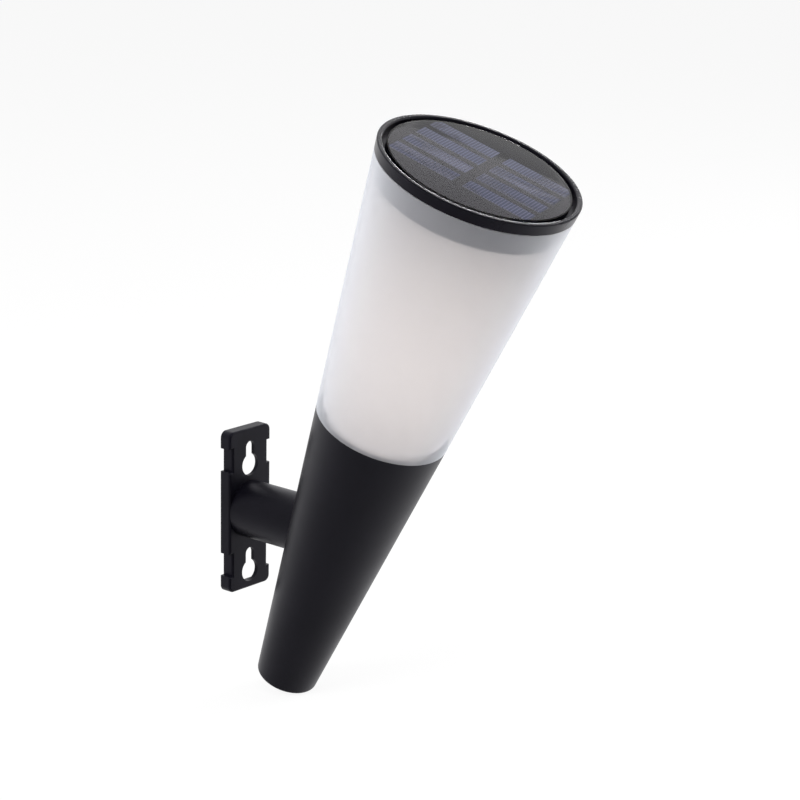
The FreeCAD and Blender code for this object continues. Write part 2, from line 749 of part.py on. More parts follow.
# battery_spring: contact plate and coil in one node
spring_plate = contact("spring_plate", -1)
coil = doc.addObject("Part::Helix", "coil_path")
coil_room = S("spring_room") + 2 * S("knob_gap") - 0.15
coil_rise = coil_room - S("spring_wire")
coil.Pitch = (coil_rise / S("spring_turns")).number
bind(coil, "Pitch", coil_rise / S("spring_turns"))
coil.Height = coil_rise.number
bind(coil, "Height", coil_rise)
coil.Radius = S("spring_radius").number
bind(coil, "Radius", S("spring_radius"))
wire_section = doc.addObject("Part::Circle", "wire_section")
wire_section.Radius = S("spring_wire").number / 2
bind(wire_section, "Radius", S("spring_wire") / 2)
wire_section.Placement = Placement(Vector(S("spring_radius").number, 0, 0),
                                   Rotation(Vector(1, 0, 0), 90))
bind(wire_section, "Placement.Base.x", S("spring_radius"))
coil_sweep = doc.addObject("Part::Sweep", "coil_sweep")
coil_sweep.Sections = [wire_section]
doc.recompute()
coil_edges = ["Edge%d" % (n + 1) for n in range(len(coil.Shape.Edges))]
coil_sweep.Spine = (coil, coil_edges)
coil_sweep.Solid = True
coil_sweep.Frenet = True
coil_start = -bay_x + S("knob_gap") + S("contact_thickness") + S("spring_wire") / 2 - 0.05
coil_sweep.Placement = Placement(
    Vector(coil_start.number, S("battery_offset").number, -battery_depth.number),
    Rotation(Vector(0, 1, 0), 90))
bind(coil_sweep, "Placement.Base.x", coil_start)
bind(coil_sweep, "Placement.Base.y", S("battery_offset"))
bind(coil_sweep, "Placement.Base.z", -battery_depth)
spring = doc.addObject("Part::Fuse", "battery_spring")
spring.Base = spring_plate
spring.Tool = coil_sweep
spring.Label = "battery_spring"
place_in_lamp(spring)

# ---------------------------------------------------------------- circuit board and its parts
circuit = new_body("circuit_board")
circuit_low = -(S("circuit_shift") + S("circuit_width") / 2)
circuit_high = -(S("circuit_shift") - S("circuit_width") / 2)
pad_down(circuit, "circuit_plate", S("circuit_depth"), circuit_under,
         lambda sketch: add_box_outline(sketch, -S("circuit_length") / 2,
                                        S("circuit_length") / 2, circuit_low, circuit_high))
cut_down(circuit, "peg_holes", S("circuit_depth"), circuit_under, paired(
    S("post_x"), -S("post_y"), S("peg_radius") + S("screw_gap")))
cut_down(circuit, "leg_holes", S("circuit_depth"), circuit_under, paired(
    S("led_leg_spacing") / 2, -S("led_shift"), S("led_leg_radius") + S("screw_gap")))
place_in_lamp(circuit)

# led: flange on the base, barrel and dome through it, two legs up to the circuit board
led = new_body("led")
led_sketch = new_sketch(led, "led_profile", "XZ_Plane", (0, 0, S("led_shift")))
flange_top = base_top - S("led_flange_height")
barrel_end = base_top + S("led_barrel")
dome_tip = barrel_end + S("led_radius")
corner = [
    (0, -flange_top), (S("led_flange_radius"), -flange_top),
    (S("led_flange_radius"), -base_top), (S("led_radius"), -base_top),
    (S("led_radius"), -barrel_end)]
corner = [(as_size(x), as_size(y)) for x, y in corner]
lines = []
for here, after in zip(corner, corner[1:]):
    lines.append(led_sketch.addGeometry(Part.LineSegment(
        Vector(here[0].number, here[1].number, 0), Vector(after[0].number, after[1].number, 0))))
tip_circle = Part.Circle(Vector(0, -barrel_end.number, 0), Vector(0, 0, 1), S("led_radius").number)
tip_arc = led_sketch.addGeometry(Part.ArcOfCircle(tip_circle, radians(270), radians(360)))
spine_line = led_sketch.addGeometry(Part.LineSegment(
    Vector(0, -dome_tip.number, 0), Vector(0, -flange_top.number, 0)))
for one, two in zip(lines, lines[1:]):
    led_sketch.addConstraint(Sketcher.Constraint("Coincident", one, 2, two, 1))
led_sketch.addConstraint(Sketcher.Constraint("Coincident", lines[-1], 2, tip_arc, 2))
led_sketch.addConstraint(Sketcher.Constraint("Coincident", tip_arc, 1, spine_line, 1))
led_sketch.addConstraint(Sketcher.Constraint("Coincident", spine_line, 2, lines[0], 1))
for line, (x, y) in zip(lines, corner):
    pin_point(led_sketch, line, 1, x, y)
pin_point(led_sketch, lines[-1], 2, corner[-1][0], corner[-1][1])
pin_point(led_sketch, tip_arc, 3, 0, -barrel_end)
led_sketch.addConstraint(Sketcher.Constraint("PointOnObject", tip_arc, 1, -2))
revolve(led, led_sketch, "led_turned")
pad_down(led, "led_legs", S("circuit_depth") - 0.3, flange_top + 0.2, paired(
    S("led_leg_spacing") / 2, -S("led_shift"), S("led_leg_radius")))
place_in_lamp(led)

# control_chip and choke_coil on the circuit board's lower side
chip = new_body("control_chip")
pad_down(chip, "chip_block", circuit_under, circuit_under + S("chip_height"),
         lambda sketch: add_box_outline(
             sketch, S("chip_x") - S("chip_length") / 2, S("chip_x") + S("chip_length") / 2,
             -(S("chip_y") + S("chip_width") / 2), -(S("chip_y") - S("chip_width") / 2)))
place_in_lamp(chip)

choke = new_body("choke_coil")
choke_depth = circuit_under + S("choke_radius")
choke_start = -(S("chip_x") + S("choke_length") / 2)
for name, start, length, radius in (
        ("choke_body", choke_start, S("choke_length"), S("choke_waist")),
        ("choke_near_collar", choke_start, S("choke_collar"), S("choke_radius")),
        ("choke_far_collar", choke_start + S("choke_length") - S("choke_collar"),
         S("choke_collar"), S("choke_radius"))):
    ring_sketch = lying_sketch(choke, name + "_outline", start)
    add_circle(ring_sketch, -S("chip_y"), -choke_depth, radius)
    extrude(choke, ring_sketch, name, length)
place_in_lamp(choke)

# switch_body: box on the circuit board with the bed its knob slides in
switch = new_body("switch_body")
switch_under = circuit_under + S("switch_height")
pad_down(switch, "switch_block", circuit_under, switch_under, lambda sketch: add_box_outline(
    sketch, -S("switch_length") / 2, S("switch_length") / 2,
    -(S("switch_shift") + S("switch_width") / 2), -(S("switch_shift") - S("switch_width") / 2)))
bed_x = (S("knob_length") + S("switch_travel")) / 2 + S("knob_gap")
bed_y = S("knob_width") / 2 + S("knob_gap")
cut_down(switch, "knob_room", switch_under - S("knob_bed") - S("knob_gap"), switch_under,
         lambda sketch: add_box_outline(sketch, -bed_x, bed_x, -(S("switch_shift") + bed_y),
                                        -(S("switch_shift") - bed_y)))
place_in_lamp(switch)

knob = new_body("switch_knob")
knob_x = -S("switch_travel") / 2
pad_down(knob, "knob_block", switch_under - S("knob_bed"), base_under + S("knob_proud"),
         lambda sketch: add_box_outline(
             sketch, knob_x - S("knob_length") / 2, knob_x + S("knob_length") / 2,
             -(S("switch_shift") + S("knob_width") / 2),
             -(S("switch_shift") - S("knob_width") / 2)))
place_in_lamp(knob)


# ---------------------------------------------------------------- leads
def lead(label, route):
    """A round lead along straight runs joined by tangent arcs, through points of the lamp frame."""
    points = [Vector(as_size(x).number, as_size(y).number, -as_size(z).number)
              for x, y, z in route]
    edges = []
    cursor = points[0]
    for before, here, after in zip(points, points[1:], points[2:]):
        incoming = (here - before).normalize()
        outgoing = (after - here).normalize()
        half = incoming.getAngle(outgoing) / 2
        reach = min((here - before).Length, (after - here).Length) * 0.45
        cut = min(reach, S("lead_bend").number * sin(half) / cos(half))
        start = here - incoming * cut
        end = here + outgoing * cut
        bulge = (outgoing - incoming).normalize()
        radius = cut * cos(half) / sin(half)
        middle = here + bulge * (radius / cos(half) - radius)
        edges.append(Part.LineSegment(cursor, start).toShape())
        edges.append(Part.Arc(start, middle, end).toShape())
        print(label, "bend radius %.2f" % radius)
        cursor = end
    edges.append(Part.LineSegment(cursor, points[-1]).toShape())
    path = Part.Wire(edges)
    direction = (points[1] - points[0]).normalize()
    section = Part.Wire([Part.Circle(points[0], direction, S("lead_radius").number).toShape()])
    piece = doc.addObject("Part::Feature", label)
    piece.Label = label
    piece.Shape = path.makePipeShell([section], True, False)
    place_in_lamp(piece)


lead_y = S("post_y") + S("lead_stand")
for label, side in (("panel_lead_red", -1), ("panel_lead_black", 1)):
    drop = (S("circuit_depth") - board_under) / 2 + board_under
    high_x = side * S("panel_pad_x")
    low_x = side * S("board_pad_x")
    low_y = -(lead_y - S("lead_step"))
    lead(label, [(high_x, -lead_y, board_under), (high_x, -lead_y, drop),
                 (low_x, low_y, drop), (low_x, low_y, S("circuit_depth"))])

tab_edge = bay_low - S("bay_wall") - S("tab_reach")
for label, side in (("battery_lead_red", 1), ("battery_lead_black", -1)):
    tab_x = side * (contact_x + S("contact_thickness") / 2)
    pad_x = side * (S("circuit_length") / 2 - S("battery_pad_inset"))
    depth = battery_depth - S("tab_shift")
    pad_y = tab_edge - S("battery_lead_run")
    lead(label, [(tab_x, tab_edge, depth), (tab_x, pad_y, depth),
                 (pad_x, pad_y, depth), (pad_x, pad_y, circuit_under)])

# ---------------------------------------------------------------- diffuser
neck_end = S("seam_depth") + S("neck_length")


def neck_outer(depth):
    return outer(depth) - S("body_wall") - S("neck_gap")


bead_top = S("seam_depth") + S("bead_depth")
bead_end = bead_top + S("bead_width")
bead_crest = S("bead_width") / 4
taper_top = S("seam_depth") - 2 * S("neck_wall")
shade = turned("diffuser", [
    (outer(mouth) - S("diffuser_wall"), mouth),
    (outer(mouth), mouth),
    (outer(S("seam_depth")), S("seam_depth")),
    (neck_outer(S("seam_depth")), S("seam_depth")),
    (neck_outer(bead_top), bead_top),
    (neck_outer(bead_top + bead_crest) + S("bead_height"), bead_top + bead_crest),
    (neck_outer(bead_end - bead_crest) + S("bead_height"), bead_end - bead_crest),
    (neck_outer(bead_end), bead_end),
    (neck_outer(neck_end), neck_end),
    (neck_outer(neck_end) - S("neck_wall"), neck_end),
    (neck_outer(S("seam_depth")) - S("neck_wall"), S("seam_depth") + 0.5),
    (outer(taper_top) - S("diffuser_wall"), taper_top),
])
# bayonet nubs: short pins on the inner wall of the mouth
nub_start = outer(S("nub_depth")) - S("diffuser_wall") - S("nub_height")
nub_sin = Size(sin(radians(S("nub_angle").number)), "sin(Sizes.nub_angle)")
nub_cos = Size(cos(radians(S("nub_angle").number)), "cos(Sizes.nub_angle)")
nub_sketch = new_sketch(shade, "nub_outline", "YZ_Plane",
                        (nub_start * nub_sin, 0, nub_start * nub_cos), (0, 1, 0), S("nub_angle"))
add_circle(nub_sketch, 0, -S("nub_depth"), S("nub_radius"))
nub = extrude(shade, nub_sketch, "nub", S("nub_height") + S("diffuser_wall") / 2)
around(shade, [nub], "nubs", 2)
place_in_lamp(shade)

# ---------------------------------------------------------------- lower body
inner_foot = S("overall_length") - S("foot_thickness")


def body_inner(depth):
    return outer(depth) - S("body_wall")


shell = turned("body_shell", [
    (body_inner(S("seam_depth")), S("seam_depth")),
    (outer(S("seam_depth")), S("seam_depth")),
    (S("foot_radius"), S("overall_length")),
    (0, S("overall_length")),
    (0, inner_foot),
    (body_inner(inner_foot), inner_foot),
    (body_inner(bead_end), bead_end),
    (body_inner(bead_end - bead_crest) + S("bead_height"), bead_end - bead_crest),
    (body_inner(bead_top + bead_crest) + S("bead_height"), bead_top + bead_crest),
    (body_inner(bead_top), bead_top),
])
doc.recompute()
foot_edge = circle_edges(shell.Tip, S("foot_radius").number, -S("overall_length").number)
soften(shell, shell.Tip, "foot_rounding", foot_edge, S("foot_round"))


def cone_form(label, swell):
    """The lamp's outer taper as a solid in the lamp frame, grown or shrunk by swell."""
    form = doc.addObject("Part::Cone", label)
    for prop, size in (("Radius1", S("foot_radius") + swell), ("Radius2", S("top_radius") + swell),
                       ("Height", S("overall_length"))):
        setattr(form, prop, as_size(size).number)
        bind(form, prop, size)
    form.Placement = Placement(Vector(0, 0, -S("overall_length").number), Rotation())
    bind(form, "Placement.Base.z", -S("overall_length"))
    return form


def along_arm(label, side, radius, near, far):
    """A cylinder of the lamp frame beside the arm's axis, by distance from the lamp's axis."""
    near = as_size(near)
    length = as_size(far) - near
    rod = doc.addObject("Part::Cylinder", label)
    rod.Radius = as_size(radius).number
    bind(rod, "Radius", radius)
    rod.Height = length.number
    bind(rod, "Height", length)
    x = side * S("arm_screw_offset")
    y = near * COS
    z = -(S("arm_level") + near * SIN)
    turn = Rotation(Vector(-1, 0, 0), 90 + S("tilt_angle").number)
    rod.Placement = Placement(Vector(x.number, y.number, z.number), turn)
    for letter, size in zip("xyz", (x, y, z)):
        bind(rod, "Placement.Base." + letter, size)
    bind(rod, "Placement.Rotation.Angle", 90 + S("tilt_angle"))
    return rod


# distance from the lamp's axis to the body's surface along each screw's axis
level_radius = outer(S("arm_level"))
saddle_sag = S("arm_screw_offset") * S("arm_screw_offset") / (2 * level_radius)
saddle = (level_radius - saddle_sag) / (COS + TAPER * SIN)
screw_seat = saddle + S("seat_web")
screw_tip = screw_seat - S("arm_screw_length")
boss_start = screw_tip - S("screw_gap") - S("boss_end")

inside = cone_form("inside_form", -S("body_wall") / 2)
rods = []
for side, name in ((-1, "left"), (1, "right")):
    rods.append(along_arm(name + "_boss", side, S("body_boss_radius"), boss_start, saddle + 4))
boss_pair = doc.addObject("Part::MultiFuse", "boss_pair")
boss_pair.Shapes = rods
bosses = doc.addObject("Part::Common", "body_bosses")
bosses.Base = boss_pair
bosses.Tool = inside
cup = doc.addObject("Part::Fuse", "cup_with_bosses")
cup.Base = shell
cup.Tool = bosses
pilots = doc.addObject("Part::MultiFuse", "boss_pilots")
pilots.Shapes = [
    along_arm(name + "_pilot", side, S("arm_screw_radius") + S("screw_gap"),
              screw_tip - S("screw_gap"), saddle + 6)
    for side, name in ((-1, "left"), (1, "right"))]
lower = doc.addObject("Part::Cut", "lower_body")
lower.Base = cup
lower.Tool = pilots
lower.Label = "lower_body"
place_in_lamp(lower)

# ---------------------------------------------------------------- bracket arm
def wall_cone(label, swell):
    """The same taper, standing in the wall frame."""
    form = cone_form(label, swell)
    foot_y = -(S("axis_reach") + (S("arm_level") - S("overall_length")) * SIN)
    foot_z = (S("arm_level") - S("overall_length")) * COS
    turn = Rotation(Vector(1, 0, 0), S("tilt_angle").number)
    form.setExpression("Placement.Base.z", None)
    form.Placement = Placement(Vector(0, foot_y.number, foot_z.number), turn)
    bind(form, "Placement.Base.y", foot_y)
    bind(form, "Placement.Base.z", foot_z)
    bind(form, "Placement.Rotation.Angle", S("tilt_angle"))
    return form


def wall_rod(label, x, z, radius, near, far):
    """A cylinder square to the wall, from near to far in front of the wall plane."""
    near = as_size(near)
    length = as_size(far) - near
    rod = doc.addObject("Part::Cylinder", label)
    rod.Radius = as_size(radius).number
    bind(rod, "Radius", radius)
    rod.Height = length.number
    bind(rod, "Height", length)
    x = as_size(x)
    z = as_size(z)
    rod.Placement = Placement(Vector(x.number, -near.number, z.number),
                              Rotation(Vector(1, 0, 0), 90))
    bind(rod, "Placement.Base.x", x)
    bind(rod, "Placement.Base.y", -near)
    bind(rod, "Placement.Base.z", z)
    return rod


def combine(kind, label, base_object, tool):
    result = doc.addObject(kind, label)
    result.Base = base_object
    result.Tool = tool
    return result


def fuse_all(label, objects):
    result = doc.addObject("Part::MultiFuse", label)
    result.Shapes = objects
    return result


front = S("plate_thickness")
seat_y = S("axis_reach") - screw_seat
arm_stock = wall_rod("arm_stock", 0, 0, S("arm_radius"), front, S("axis_reach"))
arm_bar = combine("Part::Cut", "arm_bar", arm_stock, wall_cone("saddle_form", 0))
bore_stock = wall_rod("bore_stock", 0, 0, S("arm_radius") - S("arm_wall"), front - 1, S("axis_reach"))
arm_bore = combine("Part::Cut", "arm_bore", bore_stock, wall_cone("web_form", S("web_thickness")))
arm_tube = combine("Part::Cut", "arm_tube", arm_bar, arm_bore)
boss_depth = S("plate_screw_length") - S("plate_thickness") + S("boss_end")
arm_bosses = fuse_all("arm_bosses", [
    wall_rod(name + "_arm_boss", 0, side * S("plate_screw_offset"), S("arm_boss_radius"),
             front, front + boss_depth)
    for side, name in ((-1, "low"), (1, "high"))])
arm_solid = combine("Part::Fuse", "arm_solid", arm_tube, arm_bosses)
arm_holes = fuse_all("arm_holes", [
    wall_rod("low_arm_pilot", 0, -S("plate_screw_offset"),
             S("plate_screw_radius") + S("screw_gap"), front - 1, S("plate_screw_length") + 0.3),
    wall_rod("high_arm_pilot", 0, S("plate_screw_offset"),
             S("plate_screw_radius") + S("screw_gap"), front - 1, S("plate_screw_length") + 0.3),
    wall_rod("left_arm_hole", -S("arm_screw_offset"), 0,
             S("arm_screw_radius") + S("clear_gap"), front, S("axis_reach")),
    wall_rod("right_arm_hole", S("arm_screw_offset"), 0,
             S("arm_screw_radius") + S("clear_gap"), front, S("axis_reach")),
    wall_rod("left_head_seat", -S("arm_screw_offset"), 0,
             S("arm_head_radius") + S("slot_gap"), seat_y - S("seat_room"), seat_y),
    wall_rod("right_head_seat", S("arm_screw_offset"), 0,
             S("arm_head_radius") + S("slot_gap"), seat_y - S("seat_room"), seat_y),
])
arm = combine("Part::Cut", "bracket_arm", arm_solid, arm_holes)
arm.Label = "bracket_arm"
place_on_wall(arm)

# arm_screws: pan heads on the arm's web, shanks through it into the body's bosses
screw_bodies = []
for side, name in ((-1, "left"), (1, "right")):
    x = side * S("arm_screw_offset")
    head = wall_rod(name + "_screw_head", x, 0, S("arm_head_radius"),
                    seat_y - S("arm_head_height"), seat_y)
    shank = wall_rod(name + "_screw_shank", x, 0, S("arm_screw_radius"),
                     seat_y - 0.5, seat_y + S("arm_screw_length"))
    screw_bodies.append(combine("Part::Fuse", name + "_arm_screw", head, shank))
arm_screws = doc.addObject("Part::Compound", "arm_screws")
arm_screws.Links = screw_bodies
arm_screws.Label = "arm_screws"
place_on_wall(arm_screws)

# ---------------------------------------------------------------- wall plate
plate = new_body("wall_plate")
half_w = S("plate_width") / 2
half_h = S("plate_height") / 2
plate_sketch = new_sketch(plate, "plate_outline", "XZ_Plane")
add_box_outline(plate_sketch, -half_w, half_w, -half_h, half_h)
plate_pad = extrude(plate, plate_sketch, "plate_block", S("plate_thickness"))
doc.recompute()
corners = []
for index, edge in enumerate(plate_pad.Shape.Edges, start=1):
    low, high = edge.Vertexes[0].Point, edge.Vertexes[-1].Point
    if abs(low.x - high.x) < 1e-6 and abs(low.z - high.z) < 1e-6:
        corners.append("Edge%d" % index)
rounded = soften(plate, plate_pad, "plate_corners", corners, S("plate_corner"))


def notch_outline(sketch):
    for side in (-1, 1):
        for level in (-1, 1):
            near = side * (half_w - S("notch_depth"))
            far = side * (half_w + 1)
            low_x, high_x = (near, far) if side > 0 else (far, near)
            middle = level * S("notch_level")
            add_box_outline(sketch, low_x, high_x, middle - S("notch_length") / 2,
                            middle + S("notch_length") / 2)


notch_sketch = new_sketch(plate, "notch_outline", "XZ_Plane")
notch_outline(notch_sketch)
notched = extrude(plate, notch_sketch, "notches", S("plate_thickness"), cut=True, backwards=True)
doc.recompute()
front_y = -S("plate_thickness").number
front_edges = []
for index, edge in enumerate(notched.Shape.Edges, start=1):
    box = edge.BoundBox
    if abs(box.YMin - front_y) < 1e-4 and abs(box.YMax - front_y) < 1e-4:
        front_edges.append("Edge%d" % index)
softened = soften(plate, notched, "front_rounding", front_edges, S("plate_edge_round"))

# the back is cored between its rim and two cross ribs, with a post round each plate screw
cavity_x = half_w - S("notch_depth") - S("plate_rim")
rib_high = S("arm_radius") + S("plate_rim") / 2
rib_low = S("arm_radius") - S("plate_rim") / 2
core_sketch = new_sketch(plate, "core_outline", "XZ_Plane")
add_box_outline(core_sketch, -cavity_x, cavity_x, rib_high, half_h - S("plate_rim"))
add_box_outline(core_sketch, -cavity_x, cavity_x, -(half_h - S("plate_rim")), -rib_high)
add_box_outline(core_sketch, -(half_w - S("plate_rim")), half_w - S("plate_rim"),
                -rib_low, rib_low)
core = extrude(plate, core_sketch, "core", S("plate_thickness") - S("plate_front"),
               cut=True, backwards=True)


def two_levels(sketch, level, radius):
    add_circle(sketch, 0, level, radius)
    add_circle(sketch, 0, -level, radius)


post_sketch = new_sketch(plate, "post_outline", "XZ_Plane")
two_levels(post_sketch, S("plate_screw_offset"), S("plate_post_radius"))
extrude(plate, post_sketch, "screw_posts", S("plate_thickness") - S("plate_front") / 2)
hole_sketch = new_sketch(plate, "screw_hole_outline", "XZ_Plane")
two_levels(hole_sketch, S("plate_screw_offset"), S("plate_screw_radius") + S("clear_gap"))
extrude(plate, hole_sketch, "screw_holes", S("plate_thickness"), cut=True, backwards=True)

# keyholes: the round hole takes the wall screw's head, the slot above it holds its neck
slot_high = S("keyhole_shift") + S("keyhole_spacing") / 2
slot_low = S("keyhole_shift") - S("keyhole_spacing") / 2
for name, level in (("upper", slot_high), ("lower", slot_low)):
    slot_sketch = new_sketch(plate, name + "_slot_outline", "XZ_Plane")
    add_slot(slot_sketch, 0, level, level - S("keyhole_drop"), S("slot_radius"))
    extrude(plate, slot_sketch, name + "_slot", S("plate_thickness"), cut=True, backwards=True)
    round_sketch = new_sketch(plate, name + "_round_outline", "XZ_Plane")
    add_circle(round_sketch, 0, level - S("keyhole_drop"), S("keyhole_radius"))
    extrude(plate, round_sketch, name + "_round", S("plate_thickness"), cut=True, backwards=True)
# countersinks for the plate screws, from the back
doc.recompute()
sink_tools = []
for side, name in ((-1, "low"), (1, "high")):
    sink = doc.addObject("Part::Cone", name + "_countersink")
    for prop, size in (("Radius1", S("plate_head_radius") + S("clear_gap")),
                       ("Radius2", S("plate_screw_radius") + S("clear_gap")),
                       ("Height", S("plate_head_height"))):
        setattr(sink, prop, as_size(size).number)
        bind(sink, prop, size)
    level = side * S("plate_screw_offset")
    sink.Placement = Placement(Vector(0, 0, level.number), Rotation(Vector(1, 0, 0), 90))
    bind(sink, "Placement.Base.z", level)
    sink_tools.append(sink)
plate.Label = "plate_moulding"
sunk = combine("Part::Cut", "wall_plate_sunk", plate, fuse_all("countersinks", sink_tools))
sunk.Label = "wall_plate"
place_on_wall(sunk)

# plate_screws: countersunk from the plate's back into the arm
screw_bodies = []
for side, name in ((-1, "low"), (1, "high")):
    level = side * S("plate_screw_offset")
    head = doc.addObject("Part::Cone", name + "_plate_screw_head")
    for prop, size in (("Radius1", S("plate_head_radius")), ("Radius2", S("plate_screw_radius")),
                       ("Height", S("plate_head_height"))):
        setattr(head, prop, as_size(size).number)
        bind(head, prop, size)
    head.Placement = Placement(Vector(0, -0.05, level.number), Rotation(Vector(1, 0, 0), 90))
    bind(head, "Placement.Base.z", level)
    shank = wall_rod(name + "_plate_screw_shank", 0, level, S("plate_screw_radius"),
                     0.5, S("plate_screw_length"))
    screw_bodies.append(combine("Part::Fuse", name + "_plate_screw", head, shank))
plate_screws = doc.addObject("Part::Compound", "plate_screws")
plate_screws.Links = screw_bodies
plate_screws.Label = "plate_screws"
place_on_wall(plate_screws)

# ---------------------------------------------------------------- check and write
doc.recompute()
faults = []
for thing in doc.Objects:
    for state in thing.State:
        if state in ("Invalid", "Error"):
            faults.append("%s is %s" % (thing.Name, state))
for piece in NODES:
    if piece.Shape.isNull() or not piece.Shape.isValid():
        faults.append("%s has no valid shape" % piece.Label)
    print("%-20s solids %d  volume %9.2f mm3" % (
        piece.Label, len(piece.Shape.Solids), piece.Shape.Volume))
if faults:
    raise SystemExit("\n".join(faults))
os.makedirs("parts", exist_ok=True)
for piece in NODES:
    piece.Shape.exportStep("parts/%s.step" % piece.Label)
print(len(NODES), "nodes written")
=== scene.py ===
# %% [markdown]
# # A solar fence light, dressed for its picture
# The lamp is a slim cone that leans out from a wall plate: a black foot, a frosted shade and a
# solar head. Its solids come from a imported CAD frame, and this lesson gives them their finishes,
# cuts the screws that the frame only blocks out, and lights a small studio around them.

# %% Load the frame
import json
import math

import bmesh
import bpy
from mathutils import Matrix, Vector

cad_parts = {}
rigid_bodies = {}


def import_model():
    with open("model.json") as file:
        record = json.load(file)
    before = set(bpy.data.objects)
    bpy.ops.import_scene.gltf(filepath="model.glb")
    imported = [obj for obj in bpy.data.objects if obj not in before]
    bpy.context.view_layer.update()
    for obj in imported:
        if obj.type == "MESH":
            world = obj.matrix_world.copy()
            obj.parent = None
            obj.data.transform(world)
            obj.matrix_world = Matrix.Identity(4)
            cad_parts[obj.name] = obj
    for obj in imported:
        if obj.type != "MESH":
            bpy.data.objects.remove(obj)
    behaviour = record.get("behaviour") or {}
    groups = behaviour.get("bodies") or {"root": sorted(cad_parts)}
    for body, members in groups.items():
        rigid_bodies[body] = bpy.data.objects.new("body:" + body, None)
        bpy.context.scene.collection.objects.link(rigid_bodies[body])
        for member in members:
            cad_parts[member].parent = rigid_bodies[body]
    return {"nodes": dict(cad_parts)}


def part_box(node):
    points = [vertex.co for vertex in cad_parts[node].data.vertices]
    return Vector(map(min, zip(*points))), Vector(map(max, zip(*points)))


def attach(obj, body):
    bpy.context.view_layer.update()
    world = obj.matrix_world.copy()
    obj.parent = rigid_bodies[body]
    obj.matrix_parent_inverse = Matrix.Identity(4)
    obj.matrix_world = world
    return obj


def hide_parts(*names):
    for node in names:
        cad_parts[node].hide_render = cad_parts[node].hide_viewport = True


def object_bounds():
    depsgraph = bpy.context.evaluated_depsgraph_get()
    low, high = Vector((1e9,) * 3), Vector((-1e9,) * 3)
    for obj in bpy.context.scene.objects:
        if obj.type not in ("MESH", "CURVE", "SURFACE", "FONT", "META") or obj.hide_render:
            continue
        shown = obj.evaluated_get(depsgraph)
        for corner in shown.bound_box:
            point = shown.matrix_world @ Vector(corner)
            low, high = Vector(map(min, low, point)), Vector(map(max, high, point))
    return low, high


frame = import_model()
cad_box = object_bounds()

nodes = frame["nodes"]

# %% [markdown]
# ## Where the lamp leans
# Most pieces are turned about one axis, which leans 23 degrees away from the wall. Points on the
# lamp are easiest to write as x, y and a depth below the lip, so one function takes such a point
# to the wall's frame. The same lean goes into the materials, which then follow the lamp.

# %% The lamp's own frame
MM = 0.001
LEAN = math.radians(23.0)
ARM_DEPTH = 148.0     # mm from the lip down to where the arm's axis meets the lamp's
REACH = 48.0          # mm from the wall to that point
LIP_CENTRE = Vector((0.0, -(REACH + ARM_DEPTH * math.sin(LEAN)), ARM_DEPTH * math.cos(LEAN))) * MM
IN_THE_LAMP = Matrix.Translation(LIP_CENTRE) @ Matrix.Rotation(LEAN, 4, "X")


def on_lamp(x, y, depth):
    """A point of the lamp, in mm from its axis and mm below its lip, as metres in the frame."""
    return IN_THE_LAMP @ (Vector((x, y, -depth)) * MM)


print("lip centre, mm:", [round(v / MM, 2) for v in LIP_CENTRE])

# %% [markdown]
# ## The camera
# The picture looks at the lamp from its left and a little above, from about 0.9 m away, with a
# long lens and almost no roll. The numbers below were fitted to the lamp's outlines, with its
# width, length and plate height held.

# %% Set up the camera
AZIMUTH, ELEVATION, ROLL = math.radians(-50.009), math.radians(14.97), math.radians(1.114)
FOCAL_PIXELS, PICTURE = 2450.0, 800.0
SENSOR_MM, NEAR_CLIP = 36.0, 0.01
DISTANCE = 885.824
FRAME_X, FRAME_Y = 57.449, 38.184     # mm from the frame's origin to the middle of the picture

back = Vector((math.sin(AZIMUTH) * math.cos(ELEVATION),
               -math.cos(AZIMUTH) * math.cos(ELEVATION), math.sin(ELEVATION)))
level = Vector((math.cos(AZIMUTH), math.sin(AZIMUTH), 0.0))
rise = back.cross(level)
right = level * math.cos(ROLL) + rise * math.sin(ROLL)
up = back.cross(right)

lens = bpy.data.cameras.new("picture_camera")
lens.sensor_width = SENSOR_MM
lens.lens = FOCAL_PIXELS / PICTURE * SENSOR_MM
lens.clip_start = NEAR_CLIP
camera = bpy.data.objects.new("picture_camera", lens)
in_scene = bpy.context.scene.collection.objects
in_scene.link(camera)
place = (right * FRAME_X + up * FRAME_Y + back * DISTANCE) * MM
turn = Matrix((right, up, back)).transposed().to_4x4()
camera.matrix_world = Matrix.Translation(place) @ turn
bpy.context.scene.camera = camera
print("camera at, mm:", [round(v / MM, 1) for v in place], "lens", round(lens.lens, 2), "mm")

# %% [markdown]
# ## Colours and nodes
# Colours are written as the sRGB hex that a colour picker gives, and one function turns them into
# the linear numbers that Blender mixes. A second function adds any node, sets its settings and
# fills its sockets with numbers or with the outputs of other nodes.

# %% Colour and node helpers
def hex_colour(text):
    """An sRGB hex colour as linear red, green, blue and alpha."""
    parts = [int(text[i:i + 2], 16) / 255 for i in (1, 3, 5)]
    linear = [p / 12.92 if p <= 0.04045 else ((p + 0.055) / 1.055) ** 2.4 for p in parts]
    return (*linear, 1.0)


def add_node(tree, kind, sockets=None, **settings):
    """One node: settings are its properties, sockets its inputs by name or number."""
    made = tree.nodes.new(kind)
    for name, value in settings.items():
        setattr(made, name, value)
    for name, value in (sockets or {}).items():
        if isinstance(value, bpy.types.NodeSocket):
            tree.links.new(value, made.inputs[name])
        else:
            made.inputs[name].default_value = value
    return made


MIX_A, MIX_B, MIX_RESULT = 6, 7, 2     # the colour sockets of a Mix node


def new_finish(name):
    """An empty material and its node tree."""
    finish = bpy.data.materials.new(name)
    finish.use_nodes = True
    finish.node_tree.nodes.clear()
    return finish, finish.node_tree


